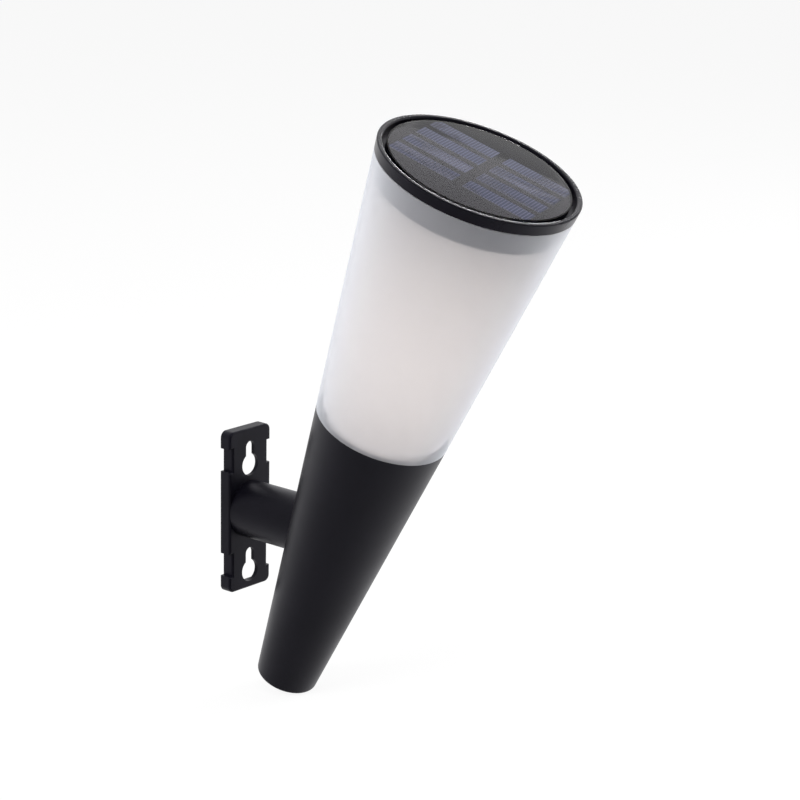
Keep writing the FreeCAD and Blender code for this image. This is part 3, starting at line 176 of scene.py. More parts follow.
def millimetres(tree, leaning=True):
    """Object coordinates in mm, in the lamp's frame where leaning, or else in the wall's."""
    where = add_node(tree, "ShaderNodeTexCoord").outputs["Object"]
    sockets = {"Vector": where, "Scale": (MM, MM, MM)}
    if leaning:
        sockets["Location"] = LIP_CENTRE
        sockets["Rotation"] = (LEAN, 0.0, 0.0)
    return add_node(tree, "ShaderNodeMapping", sockets, vector_type="TEXTURE").outputs["Vector"]


def from_axis(tree, where):
    """How far a point is from the Z axis of those coordinates."""
    flat = add_node(tree, "ShaderNodeVectorMath", {0: where, 1: (1.0, 1.0, 0.0)},
                    operation="MULTIPLY")
    return add_node(tree, "ShaderNodeVectorMath", {0: flat.outputs[0]},
                    operation="LENGTH").outputs["Value"]


print("black as linear:", [round(v, 4) for v in hex_colour("#1b1b1d")[:3]])

# %% [markdown]
# ## Satin moulded ABS
# The foot, arm, plate and head are ABS from a lightly spark-eroded mould. The eye gets a deep,
# slightly cold black that turns pale only where it is seen edge-on, a grain too fine to count,
# and slow patches where the melt cooled at different rates. Less shine would also keep it dark,
# but the real plastic reflects about 4% head-on, so the depth of the black is left to a dark room
# in front of it. Real grain is about 0.05 mm. It is drawn at 0.35 mm, because nothing finer would
# show from this far.

# %% Make the satin blacks
PATCH_MM, RUB_SPREAD = 18.0, 0.03     # slow patches, and how far they sway the roughness


def satin_abs(name, colour, worn, roughness, grain_mm=0.35, grain_depth=0.012, leaning=True,
              shine=0.5):
    """A deep near-black, its two colours in slow patches under a fine grain."""
    finish, tree = new_finish(name)
    where = millimetres(tree, leaning)
    grain = add_node(tree, "ShaderNodeTexNoise", {
        "Vector": where, "Scale": 1.0 / grain_mm, "Detail": 2.0, "Roughness": 0.6})
    patches = add_node(tree, "ShaderNodeTexNoise", {
        "Vector": where, "Scale": 1.0 / PATCH_MM, "Detail": 3.0, "Roughness": 0.5})
    rubs = add_node(tree, "ShaderNodeMapRange", {
        "Value": patches.outputs["Fac"], "From Min": 0.35, "From Max": 0.7})
    tint = add_node(tree, "ShaderNodeMix", {
        0: rubs.outputs["Result"], MIX_A: hex_colour(colour), MIX_B: hex_colour(worn)},
        data_type="RGBA")
    gloss = add_node(tree, "ShaderNodeMapRange", {
        "Value": rubs.outputs["Result"], "To Min": roughness + RUB_SPREAD,
        "To Max": roughness - RUB_SPREAD})
    bump = add_node(tree, "ShaderNodeBump", {
        "Height": grain.outputs["Fac"], "Strength": 0.35, "Distance": grain_depth * MM})
    skin = add_node(tree, "ShaderNodeBsdfPrincipled", {
        "Base Color": tint.outputs[MIX_RESULT], "Roughness": gloss.outputs["Result"], "IOR": 1.53,
        "Specular IOR Level": shine, "Specular Tint": hex_colour("#f0edff"),
        "Normal": bump.outputs["Normal"]})
    add_node(tree, "ShaderNodeOutputMaterial", {"Surface": skin.outputs["BSDF"]})
    return finish


BODY_BLACK = satin_abs("satin_moulded_abs_body", "#0b0a11", "#0f0e15", 0.40)
ARM_BLACK = satin_abs("satin_moulded_abs_arm", "#0b0a11", "#100f16", 0.42, leaning=False)
PLATE_BLACK = satin_abs("satin_moulded_abs_plate", "#0b0a11", "#11101a", 0.44, leaning=False)
RIM_BLACK = satin_abs("semi_gloss_moulded_abs_head", "#0a0910", "#0e0d14", 0.28,
                      grain_depth=0.006)
INNER_BLACK = satin_abs("matt_moulded_abs_inside", "#18181a", "#202023", 0.55, grain_depth=0.02)
for black in (BODY_BLACK, ARM_BLACK, PLATE_BLACK, RIM_BLACK, INNER_BLACK):
    print(black.name, "with", len(black.node_tree.nodes), "nodes")

# %% [markdown]
# ## Frosted polypropylene
# The shade is moulded in a milky plastic with a matt outer skin. Light goes in, scatters and
# comes out on the other side, so the black skirt of the head shows through as a blue-grey band
# with a crisp lower edge, and the hollow below it glows evenly. Rough glass kept the hollow dark
# in trials, because it passes light on too straight, and a translucent shader on both sides of
# the wall blurred the band. So the inner side of the wall scatters the light, as milky plastic
# does, and the outer side lets most of it straight through to be seen. A wall seen edge-on is
# longer to cross, so the plain white skin takes over there. The skin is a little blue and what
# shines through a little warm, as in all milky plastics. The real frost is 0.1 mm. It is drawn at
# 0.5 mm, so that it shows.

# %% Make the frosted shade
TOP_RADIUS, TAPER = 35.0, 24.0 / 212.0     # mm at the lip, and mm of radius per mm of depth
HALF_WALL = 0.9                            # mm from the outer skin to the middle of the wall
STRAIGHT_SHARE = 0.8                       # of the light in the outer skin that goes straight on
OPEN_SHARE = 0.88                          # of the wall that lets light in, seen square on
FROST_MM, FLOW_MM, EDGE_ON = 0.5, 30.0, 2.0


def frosted_plastic(name, colour, thick_colour, glow):
    """Milky plastic: the inner side of the wall scatters, the outer one is mostly clear."""
    finish, tree = new_finish(name)
    where = millimetres(tree)
    frost = add_node(tree, "ShaderNodeTexNoise", {
        "Vector": where, "Scale": 1.0 / FROST_MM, "Detail": 2.0, "Roughness": 0.6})
    flow = add_node(tree, "ShaderNodeTexNoise", {
        "Vector": where, "Scale": 1.0 / FLOW_MM, "Detail": 2.0, "Roughness": 0.5})
    milk = add_node(tree, "ShaderNodeMix", {
        0: flow.outputs["Fac"], MIX_A: hex_colour(colour), MIX_B: hex_colour(thick_colour)},
        data_type="RGBA")
    matt = add_node(tree, "ShaderNodeMapRange", {
        "Value": flow.outputs["Fac"], "To Min": 0.50, "To Max": 0.58})
    bump = add_node(tree, "ShaderNodeBump", {
        "Height": frost.outputs["Fac"], "Strength": 0.25, "Distance": 0.01 * MM})
    skin = add_node(tree, "ShaderNodeBsdfPrincipled", {
        "Base Color": milk.outputs[MIX_RESULT], "Roughness": matt.outputs["Result"], "IOR": 1.49,
        "Normal": bump.outputs["Normal"]})
    passing = add_node(tree, "ShaderNodeBsdfTranslucent", {
        "Color": hex_colour(glow), "Normal": bump.outputs["Normal"]})
    parts = add_node(tree, "ShaderNodeSeparateXYZ", {"Vector": where})
    middle = add_node(tree, "ShaderNodeMath", {
        0: parts.outputs["Z"], 1: TAPER, 2: TOP_RADIUS - HALF_WALL}, operation="MULTIPLY_ADD")
    outside = add_node(tree, "ShaderNodeMath", {
        0: from_axis(tree, where), 1: middle.outputs[0]}, operation="GREATER_THAN")
    clear_share = add_node(tree, "ShaderNodeMath", {
        0: outside.outputs[0], 1: STRAIGHT_SHARE}, operation="MULTIPLY")
    straight = add_node(tree, "ShaderNodeBsdfTransparent", {"Color": hex_colour(glow)})
    sent = add_node(tree, "ShaderNodeMixShader", {
        0: clear_share.outputs[0], 1: passing.outputs["BSDF"], 2: straight.outputs["BSDF"]})
    sight = add_node(tree, "ShaderNodeLayerWeight", {"Blend": 0.5})
    steep = add_node(tree, "ShaderNodeMath", {
        0: sight.outputs["Facing"], 1: EDGE_ON}, operation="POWER")
    through = add_node(tree, "ShaderNodeMapRange", {
        "Value": steep.outputs[0], "To Min": OPEN_SHARE, "To Max": 0.0})
    both = add_node(tree, "ShaderNodeMixShader", {
        0: through.outputs["Result"], 1: skin.outputs["BSDF"], 2: sent.outputs["Shader"]})
    add_node(tree, "ShaderNodeOutputMaterial", {"Surface": both.outputs["Shader"]})
    return finish


SHADE_WHITE = frosted_plastic("frosted_moulded_polypropylene", "#eff3fb", "#ebeff8", "#fefbf9")
print("shade finish:", SHADE_WHITE.name)

# %% [markdown]
# ## The solar panel
# Under a clear disc lie a dark board and eight strips of silicon. The strips carry printed silver
# fingers, about 0.1 mm wide and a millimetre apart, right across them. They are drawn 0.36 mm
# wide every 1.1 mm, and fainter, so that they still show as a fine hatch. The board's solder mask
# has no grain, only a slow ripple of about 4 mm, and its shine is left to the disc above it. The
# disc is cast, and its face bulges by a millimetre, so it mirrors a slow change of light instead
# of one flat grey. The bulge is too slight for the outline, so it is only in the bump. The disc's
# outer edge is coloured black as painted shade, which widens the shadowed groove around it. A
# clear disc that blocked the lamps would leave the strips in the dark, so shadow rays pass
# straight through it.

# %% Make the silicon strips
STRIP_TURN = math.radians(14.5)
STRIP_LENGTH, FINGER_PITCH, FINGER_WIDTH, CRYSTAL_MM = 24.0, 1.1, 0.36, 1.4


def repeated_line(tree, along, pitch, width):
    """1 on lines of that width, repeated at that pitch along one coordinate."""
    cell = add_node(tree, "ShaderNodeMath", {0: along, 1: pitch}, operation="DIVIDE")
    part = add_node(tree, "ShaderNodeMath", {0: cell.outputs[0]}, operation="FRACT")
    return add_node(tree, "ShaderNodeMath", {0: part.outputs[0], 1: width / pitch},
                    operation="LESS_THAN").outputs[0]


def silicon_strips(name):
    """Blue-grey crystals under a hatch of silver fingers, turned with the strips."""
    finish, tree = new_finish(name)
    where = millimetres(tree)
    turned = add_node(tree, "ShaderNodeMapping", {
        "Vector": where, "Rotation": (0.0, 0.0, STRIP_TURN)}, vector_type="TEXTURE")
    parts = add_node(tree, "ShaderNodeSeparateXYZ", {"Vector": turned.outputs["Vector"]})
    fingers = repeated_line(tree, parts.outputs["Y"], FINGER_PITCH, FINGER_WIDTH)
    crystals = add_node(tree, "ShaderNodeTexVoronoi", {
        "Vector": where, "Scale": 1.0 / CRYSTAL_MM})
    shades = add_node(tree, "ShaderNodeMix", {
        0: crystals.outputs["Distance"], MIX_A: hex_colour("#4b4f61"),
        MIX_B: hex_colour("#545869")}, data_type="RGBA")
    printed = add_node(tree, "ShaderNodeMix", {
        0: fingers, MIX_A: shades.outputs[MIX_RESULT], MIX_B: hex_colour("#6e7287")},
        data_type="RGBA")
    skin = add_node(tree, "ShaderNodeBsdfPrincipled", {
        "Base Color": printed.outputs[MIX_RESULT], "Roughness": 0.35, "IOR": 1.6,
        "Specular IOR Level": 0.0})
    add_node(tree, "ShaderNodeOutputMaterial", {"Surface": skin.outputs["BSDF"]})
    return finish


SILICON = silicon_strips("printed_polycrystalline_silicon")
print("silver fingers along each strip:", int(STRIP_LENGTH / FINGER_PITCH))

# %% Make the clear disc and the dark board
# The second and third numbers: the radius in mm where painted shade starts to blacken the disc's
# edge, and its blur
DOME_RADIUS, PAINTED_SHADE_FROM, PAINTED_SHADE_BLUR, HAZE_MM = 450.0, 31.05, 0.1, 6.0


def clear_disc(name):
    """Cast clear plastic, its outer edge painted black as shade, open to shadow rays."""
    finish, tree = new_finish(name)
    where = millimetres(tree)
    haze = add_node(tree, "ShaderNodeTexNoise", {
        "Vector": where, "Scale": 1.0 / HAZE_MM, "Detail": 4.0, "Roughness": 0.65})
    polish = add_node(tree, "ShaderNodeMapRange", {
        "Value": haze.outputs["Fac"], "To Min": 0.0, "To Max": 0.012})
    out = from_axis(tree, where)
    # Painted shade: the disc's outer edge turns black, to widen the shadowed groove around it
    painted_shade_mask = add_node(tree, "ShaderNodeMapRange", {
        "Value": out, "From Min": PAINTED_SHADE_FROM, "From Max": PAINTED_SHADE_FROM + PAINTED_SHADE_BLUR})
    painted_shade_tint = add_node(tree, "ShaderNodeMix", {
        0: painted_shade_mask.outputs["Result"], MIX_A: hex_colour("#f6f4f9"), MIX_B: hex_colour("#050505")},
        data_type="RGBA")
    square = add_node(tree, "ShaderNodeMath", {0: out, 1: 2.0}, operation="POWER")
    fall = add_node(tree, "ShaderNodeMath", {0: square.outputs[0], 1: -0.5 / DOME_RADIUS},
                    operation="MULTIPLY")
    dome = add_node(tree, "ShaderNodeBump", {
        "Height": fall.outputs[0], "Strength": 1.0, "Distance": MM})
    skin = add_node(tree, "ShaderNodeBsdfPrincipled", {
        "Base Color": painted_shade_tint.outputs[MIX_RESULT], "Roughness": polish.outputs["Result"],
        "IOR": 1.27, "Transmission Weight": 1.0, "Normal": dome.outputs["Normal"]})
    open_way = add_node(tree, "ShaderNodeBsdfTransparent", {"Color": hex_colour("#ebe9ef")})
    ray = add_node(tree, "ShaderNodeLightPath")
    both = add_node(tree, "ShaderNodeMixShader", {
        0: ray.outputs["Is Shadow Ray"], 1: skin.outputs["BSDF"], 2: open_way.outputs["BSDF"]})
    add_node(tree, "ShaderNodeOutputMaterial", {"Surface": both.outputs["Shader"]})
    return finish


PANEL_BOARD = satin_abs("solder_masked_board_dark", "#17161c", "#1c1b21", 0.45,
                        grain_mm=4.0, grain_depth=0.003, shine=0.0)
CLEAR_DISC = clear_disc("cast_clear_acrylic")
print(PANEL_BOARD.name, "under", CLEAR_DISC.name)

# %% [markdown]
# ## Metals and small parts
# Screws and contacts are zinc or nickel plated steel: bright and slightly rough, with a fine
# drawn grain. The parts inside the head are seldom seen, but each has its own finish: a green
# board with its weave, a film sleeve on the cell, epoxy, ferrite, rubber and PVC.

# %% Make the metals
STREAK_STRETCH = 0.15     # the grain is drawn out along the lamp's axis


def plated_steel(name, colour, shade, roughness, streak_mm):
    """Bright metal with a fine drawn grain in its colour, roughness and bump."""
    finish, tree = new_finish(name)
    where = millimetres(tree)
    streaks = add_node(tree, "ShaderNodeMapping", {
        "Vector": where,
        "Scale": (1.0 / streak_mm, 1.0 / streak_mm, STREAK_STRETCH / streak_mm)})
    grain = add_node(tree, "ShaderNodeTexNoise", {
        "Vector": streaks.outputs["Vector"], "Scale": 1.0, "Detail": 3.0})
    tint = add_node(tree, "ShaderNodeMix", {
        0: grain.outputs["Fac"], MIX_A: hex_colour(colour), MIX_B: hex_colour(shade)},
        data_type="RGBA")
    dull = add_node(tree, "ShaderNodeMapRange", {
        "Value": grain.outputs["Fac"], "To Min": roughness - 0.06, "To Max": roughness + 0.08})
    bump = add_node(tree, "ShaderNodeBump", {
        "Height": grain.outputs["Fac"], "Strength": 0.2, "Distance": 0.01 * MM})
    skin = add_node(tree, "ShaderNodeBsdfPrincipled", {
        "Base Color": tint.outputs[MIX_RESULT], "Metallic": 1.0,
        "Roughness": dull.outputs["Result"], "Normal": bump.outputs["Normal"]})
    add_node(tree, "ShaderNodeOutputMaterial", {"Surface": skin.outputs["BSDF"]})
    return finish


ZINC = plated_steel("bright_zinc_plated_steel", "#c9ccd0", "#aeb2b8", 0.28, 0.4)
NICKEL = plated_steel("nickel_plated_spring_steel", "#cfccc2", "#b3afa4", 0.25, 0.5)
TINNED = plated_steel("tinned_steel_shell", "#c4c6c8", "#a9acae", 0.34, 0.6)
for metal in (ZINC, NICKEL, TINNED):
    print(metal.name, "with", len(metal.node_tree.nodes), "nodes")

# %% Make the small parts' finishes
def grained(name, colour, other, roughness, grain_mm, bump_mm, ior):
    """Two near colours in a fine grain, for small moulded, pressed or dipped parts."""
    finish, tree = new_finish(name)
    grain = add_node(tree, "ShaderNodeTexNoise", {
        "Vector": millimetres(tree), "Scale": 1.0 / grain_mm, "Detail": 3.0, "Roughness": 0.6})
    tint = add_node(tree, "ShaderNodeMix", {
        0: grain.outputs["Fac"], MIX_A: hex_colour(colour), MIX_B: hex_colour(other)},
        data_type="RGBA")
    dull = add_node(tree, "ShaderNodeMapRange", {
        "Value": grain.outputs["Fac"], "To Min": roughness - 0.04, "To Max": roughness + 0.04})
    bump = add_node(tree, "ShaderNodeBump", {
        "Height": grain.outputs["Fac"], "Strength": 0.3, "Distance": bump_mm * MM})
    skin = add_node(tree, "ShaderNodeBsdfPrincipled", {
        "Base Color": tint.outputs[MIX_RESULT], "Roughness": dull.outputs["Result"], "IOR": ior,
        "Normal": bump.outputs["Normal"]})
    add_node(tree, "ShaderNodeOutputMaterial", {"Surface": skin.outputs["BSDF"]})
    return finish


RUBBER = grained("moulded_silicone_rubber", "#141415", "#1a1a1b", 0.62, 0.4, 0.02, 1.41)
CHIP = grained("moulded_black_epoxy", "#151515", "#1c1c1c", 0.6, 0.3, 0.02, 1.55)
FERRITE = grained("pressed_ferrite", "#232323", "#2e2d2c", 0.66, 0.25, 0.03, 1.6)
SLEEVE = grained("shrunk_film_sleeve", "#2f7a4a", "#2b7044", 0.3, 3.0, 0.01, 1.52)
KNOB = grained("moulded_nylon_knob", "#1b1b1c", "#222223", 0.48, 0.3, 0.015, 1.53)
LEAD_RED = grained("extruded_pvc_red", "#a3201c", "#8f1a18", 0.38, 0.8, 0.01, 1.53)
LEAD_BLACK = grained("extruded_pvc_black", "#161617", "#1d1d1e", 0.38, 0.8, 0.01, 1.53)
for finish in (RUBBER, CHIP, FERRITE, SLEEVE, KNOB, LEAD_RED, LEAD_BLACK):
    print(finish.name, "with", len(finish.node_tree.nodes), "nodes")

# %% Make the woven board and the cast epoxy
WEAVE_MM, PHOSPHOR_MM = 0.5, 2.0


def woven_board(name):
    """Green solder mask over a glass weave."""
    finish, tree = new_finish(name)
    parts = add_node(tree, "ShaderNodeSeparateXYZ", {"Vector": millimetres(tree)})
    waves = [add_node(tree, "ShaderNodeMath", {
        0: add_node(tree, "ShaderNodeMath", {0: parts.outputs[axis], 1: math.tau / WEAVE_MM},
                    operation="MULTIPLY").outputs[0]}, operation="SINE") for axis in "XY"]
    weave = add_node(tree, "ShaderNodeMath", {0: waves[0].outputs[0], 1: waves[1].outputs[0]},
                     operation="MULTIPLY")
    share = add_node(tree, "ShaderNodeMapRange", {"Value": weave.outputs[0], "From Min": -1.0})
    tint = add_node(tree, "ShaderNodeMix", {
        0: share.outputs["Result"], MIX_A: hex_colour("#1d5a35"), MIX_B: hex_colour("#246a3f")},
        data_type="RGBA")
    bump = add_node(tree, "ShaderNodeBump", {
        "Height": share.outputs["Result"], "Strength": 0.3, "Distance": 0.02 * MM})
    skin = add_node(tree, "ShaderNodeBsdfPrincipled", {
        "Base Color": tint.outputs[MIX_RESULT], "Roughness": 0.32, "IOR": 1.55,
        "Normal": bump.outputs["Normal"]})
    add_node(tree, "ShaderNodeOutputMaterial", {"Surface": skin.outputs["BSDF"]})
    return finish


def clear_epoxy(name):
    """Cast epoxy with the yellow phosphor showing faintly through it."""
    finish, tree = new_finish(name)
    cloud = add_node(tree, "ShaderNodeTexNoise", {
        "Vector": millimetres(tree), "Scale": 1.0 / PHOSPHOR_MM})
    tint = add_node(tree, "ShaderNodeMix", {
        0: cloud.outputs["Fac"], MIX_A: hex_colour("#f6f1d8"), MIX_B: hex_colour("#efe2a8")},
        data_type="RGBA")
    skin = add_node(tree, "ShaderNodeBsdfPrincipled", {
        "Base Color": tint.outputs[MIX_RESULT], "Roughness": 0.06, "IOR": 1.54,
        "Transmission Weight": 0.8})
    add_node(tree, "ShaderNodeOutputMaterial", {"Surface": skin.outputs["BSDF"]})
    return finish


BOARD_GREEN = woven_board("solder_masked_glass_epoxy")
EPOXY = clear_epoxy("cast_clear_epoxy")
print("materials so far:", len([m for m in bpy.data.materials if m.use_nodes]))

# %% [markdown]
# ## Dress the nodes
# A node whose solid already has the right shape keeps it, and only its material slot changes. The
# table below is the whole lamp, piece by piece.

# %% Give each node its finish
FINISHES = {
    "wall_plate": PLATE_BLACK, "bracket_arm": ARM_BLACK, "lower_body": BODY_BLACK,
    "diffuser": SHADE_WHITE, "head_cap": RIM_BLACK, "panel_cover": CLEAR_DISC,
    "panel_board": PANEL_BOARD, "solar_cells": SILICON, "head_seal": RUBBER,
    "head_base": INNER_BLACK, "battery_cover": INNER_BLACK, "battery": SLEEVE,
    "battery_contact": NICKEL, "battery_spring": NICKEL, "circuit_board": BOARD_GREEN,
    "led": EPOXY, "control_chip": CHIP, "choke_coil": FERRITE, "switch_body": TINNED,
    "switch_knob": KNOB, "panel_lead_red": LEAD_RED, "panel_lead_black": LEAD_BLACK,
    "battery_lead_red": LEAD_RED, "battery_lead_black": LEAD_BLACK,
    "base_screws": ZINC, "cover_screws": ZINC, "plate_screws": ZINC, "arm_screws": ZINC,
}
for name, piece in nodes.items():
    for slot in piece.material_slots:
        slot.material = FINISHES[name]
print("nodes dressed:", len(FINISHES), "of", len(nodes))

# %% [markdown]
# ## The screws
# The frame blocks each screw out as a plain shank with a plain head, a disc or, on the plate's
# two, a countersunk cone. Here all nine get the low domed head with a cross recess, and a rolled
# thread. One lathe profile could be turned for every screw by hand, but the lamp has four sizes
# of the same screw, so Geometry Nodes turn it: the thread is a helix swept by a small square on
# its corner, the head is a dome, and both are set on points at the seats. The sizes are named
# inputs of the tree, and a modifier sets them by each socket's identifier.

# %% Turn the screw head and press its cross
HEAD_POWER, HEAD_FOOT, HEAD_RISE = 0.55, 0.35, 0.65
CROSS_SIZE, CROSS_TAPER, CROSS_LEVEL = (1.05, 0.2, 1.1), 0.35, 0.95


def domed_head(name, sides=48, rings=7):
    """A unit pan head, radius 1 and height 1, standing on its seat."""
    shape = bmesh.new()
    corners = [(math.cos(math.tau * s / sides), math.sin(math.tau * s / sides))
               for s in range(sides)]
    dome = []
    for ring in range(rings):
        slope = ring / rings * math.pi / 2
        radius = math.cos(slope) ** HEAD_POWER
        height = HEAD_FOOT + HEAD_RISE * math.sin(slope)
        dome.append([shape.verts.new((radius * x, radius * y, height)) for x, y in corners])
    top = shape.verts.new((0.0, 0.0, HEAD_FOOT + HEAD_RISE))
    foot = [shape.verts.new((x, y, 0.0)) for x, y in corners]
    middle = shape.verts.new((0.0, 0.0, 0.0))
    for low, high in zip([foot] + dome, dome + [[top] * sides]):
        for s in range(sides):
            after = (s + 1) % sides
            if high[s] is top:
                shape.faces.new((low[s], low[after], top))
            else:
                shape.faces.new((low[s], low[after], high[after], high[s]))
    for s in range(sides):
        shape.faces.new((foot[(s + 1) % sides], foot[s], middle))
    mesh = bpy.data.meshes.new(name)
    shape.to_mesh(mesh)
    shape.free()
    head = bpy.data.objects.new(name, mesh)
    in_scene.link(head)
    return head


def press_cross(head):
    """Cut a cross that narrows downwards into the top of a unit head."""
    cutter = bmesh.new()
    for angle in (0.0, math.pi / 2):
        box = bmesh.ops.create_cube(cutter, size=1.0)["verts"]
        bmesh.ops.scale(cutter, verts=box, vec=CROSS_SIZE)
        for vert in box:
            if vert.co.z < 0:
                vert.co.x *= CROSS_TAPER
        bmesh.ops.rotate(cutter, verts=box, matrix=Matrix.Rotation(angle, 3, "Z"))
        bmesh.ops.translate(cutter, verts=box, vec=(0.0, 0.0, CROSS_LEVEL))
    cut_mesh = bpy.data.meshes.new(head.name + "_cross")
    cutter.to_mesh(cut_mesh)
    cutter.free()
    cross = bpy.data.objects.new(head.name + "_cross", cut_mesh)
    in_scene.link(cross)
    cut = head.modifiers.new("cross", "BOOLEAN")
    cut.operation, cut.object, cut.solver, cut.use_self = "DIFFERENCE", cross, "EXACT", True
    pressed = bpy.data.meshes.new_from_object(
        head.evaluated_get(bpy.context.evaluated_depsgraph_get()))
    head.modifiers.clear()
    head.data = pressed
    bpy.data.objects.remove(cross)


HEAD_BLANK = domed_head("screw_head_blank")
press_cross(HEAD_BLANK)
print("head blank faces:", len(HEAD_BLANK.data.polygons))

# %% Build the screw tree
SHANK_SIDES, TURN_STEPS, RIDGE_SIDES = 24, 20, 4
SCREW_SHARES = {     # sizes inside the tree, each a share of one of its inputs
    "core radius": ("Shank Radius", 0.86), "core middle": ("Length", -0.5),
    "thread length": ("Length", 0.86), "thread foot": ("Length", -0.98),
    "thread radius": ("Shank Radius", 0.9), "ridge radius": ("Shank Radius", 0.1),
}


def screw_tree():
    """Points in, screws out: a domed head, a plain shank and a rolled thread at every point."""
    tree = bpy.data.node_groups.new("pan_head_screws", "GeometryNodeTree")
    face = tree.interface
    face.new_socket("Seats", in_out="INPUT", socket_type="NodeSocketGeometry")
    for name, start in (("Head Radius", 0.002), ("Head Height", 0.0014), ("Shank Radius", 0.0011),
                        ("Length", 0.0065), ("Thread Pitch", 0.0005)):
        socket = face.new_socket(name, in_out="INPUT", socket_type="NodeSocketFloat")
        socket.default_value = start
    face.new_socket("Head", in_out="INPUT", socket_type="NodeSocketObject")
    face.new_socket("Turn", in_out="INPUT", socket_type="NodeSocketVector")
    face.new_socket("Finish", in_out="INPUT", socket_type="NodeSocketMaterial")
    face.new_socket("Screws", in_out="OUTPUT", socket_type="NodeSocketGeometry")
    given = add_node(tree, "NodeGroupInput").outputs
    sized = {part: add_node(tree, "ShaderNodeMath", {0: given[size], 1: share},
                            operation="MULTIPLY").outputs[0]
             for part, (size, share) in SCREW_SHARES.items()}
    head_scale = add_node(tree, "ShaderNodeCombineXYZ", {
        "X": given["Head Radius"], "Y": given["Head Radius"], "Z": given["Head Height"]})
    head_shape = add_node(tree, "GeometryNodeObjectInfo", {"Object": given["Head"]})
    head = add_node(tree, "GeometryNodeTransform", {
        "Geometry": head_shape.outputs["Geometry"], "Scale": head_scale.outputs[0]})
    core = add_node(tree, "GeometryNodeMeshCylinder", {
        "Vertices": SHANK_SIDES, "Radius": sized["core radius"], "Depth": given["Length"]})
    turns = add_node(tree, "ShaderNodeMath", {
        0: sized["thread length"], 1: given["Thread Pitch"]}, operation="DIVIDE")
    helix = add_node(tree, "GeometryNodeCurveSpiral", {
        "Resolution": TURN_STEPS, "Rotations": turns.outputs[0],
        "Start Radius": sized["thread radius"], "End Radius": sized["thread radius"],
        "Height": sized["thread length"]})
    ridge = add_node(tree, "GeometryNodeCurvePrimitiveCircle", {
        "Resolution": RIDGE_SIDES, "Radius": sized["ridge radius"]})
    thread = add_node(tree, "GeometryNodeCurveToMesh", {
        "Curve": helix.outputs["Curve"], "Profile Curve": ridge.outputs["Curve"],
        "Fill Caps": True})
    whole = add_node(tree, "GeometryNodeJoinGeometry")
    for part, level in ((thread, sized["thread foot"]), (core, sized["core middle"])):
        place = add_node(tree, "ShaderNodeCombineXYZ", {"Z": level})
        lowered = add_node(tree, "GeometryNodeTransform", {
            "Geometry": part.outputs["Mesh"], "Translation": place.outputs[0]})
        tree.links.new(lowered.outputs["Geometry"], whole.inputs["Geometry"])
    tree.links.new(head.outputs["Geometry"], whole.inputs["Geometry"])
    places = add_node(tree, "GeometryNodeMeshToPoints", {"Mesh": given["Seats"]})
    stood = add_node(tree, "GeometryNodeInstanceOnPoints", {
        "Points": places.outputs["Points"], "Instance": whole.outputs["Geometry"],
        "Rotation": given["Turn"]})
    real = add_node(tree, "GeometryNodeRealizeInstances", {
        "Geometry": stood.outputs["Instances"]})
    coated = add_node(tree, "GeometryNodeSetMaterial", {
        "Geometry": real.outputs["Geometry"], "Material": given["Finish"]})
    add_node(tree, "NodeGroupOutput", {"Screws": coated.outputs["Geometry"]})
    return tree


SCREWS = screw_tree()
print("tree nodes:", len(SCREWS.nodes))

# %% Make one set of screws
SHARP_FROM = math.radians(35)


def seat_screws(name, body, node, seats, turn, head_radius, head_height, shank_radius, length,
                pitch):
    """One mesh of real screws for a CAD node of plain ones."""
    points = bpy.data.meshes.new(name)
    points.from_pydata([tuple(p) for p in seats], [], [])
    carrier = bpy.data.objects.new(name + "_points", points)
    in_scene.link(carrier)
    maker = carrier.modifiers.new("screws", "NODES")
    maker.node_group = SCREWS
    wanted = {"Head Radius": head_radius * MM, "Head Height": head_height * MM,
              "Shank Radius": shank_radius * MM, "Length": length * MM,
              "Thread Pitch": pitch * MM, "Head": HEAD_BLANK, "Turn": turn, "Finish": ZINC}
    for item in SCREWS.interface.items_tree:
        if item.in_out == "INPUT" and item.name in wanted:
            maker[item.identifier] = wanted[item.name]
    mesh = bpy.data.meshes.new_from_object(
        carrier.evaluated_get(bpy.context.evaluated_depsgraph_get()))
    carrier.modifiers.clear()
    bpy.data.objects.remove(carrier)
    mesh.name = name
    mesh.shade_smooth()
    mesh.set_sharp_from_angle(angle=SHARP_FROM)
    made = bpy.data.objects.new(name, mesh)
    in_scene.link(made)
    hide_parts(node)
    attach(made, body)
    print(name, "faces", len(mesh.polygons), "for", len(seats), "screws")


print("screws are sharp from", round(math.degrees(SHARP_FROM)), "degrees")

# %% Set the screws in their seats
DOWN_THE_LAMP, TO_THE_WALL = (math.pi + LEAN, 0.0, 0.0), (-math.pi / 2, 0.0, 0.0)
SEAT_RING, BASE_UNDER = 25.578, 13.0                  # mm from the lamp's axis and below its lip
LID_X, LID_Y, LID_UNDER = 12.5, -2.2, 16.3
ARM_X, ARM_HEAD = 5.2, 2.0                            # mm beside the arm's axis, and head height
PLATE_Z, PLATE_HEAD = 5.8, 1.6                        # mm above and below it

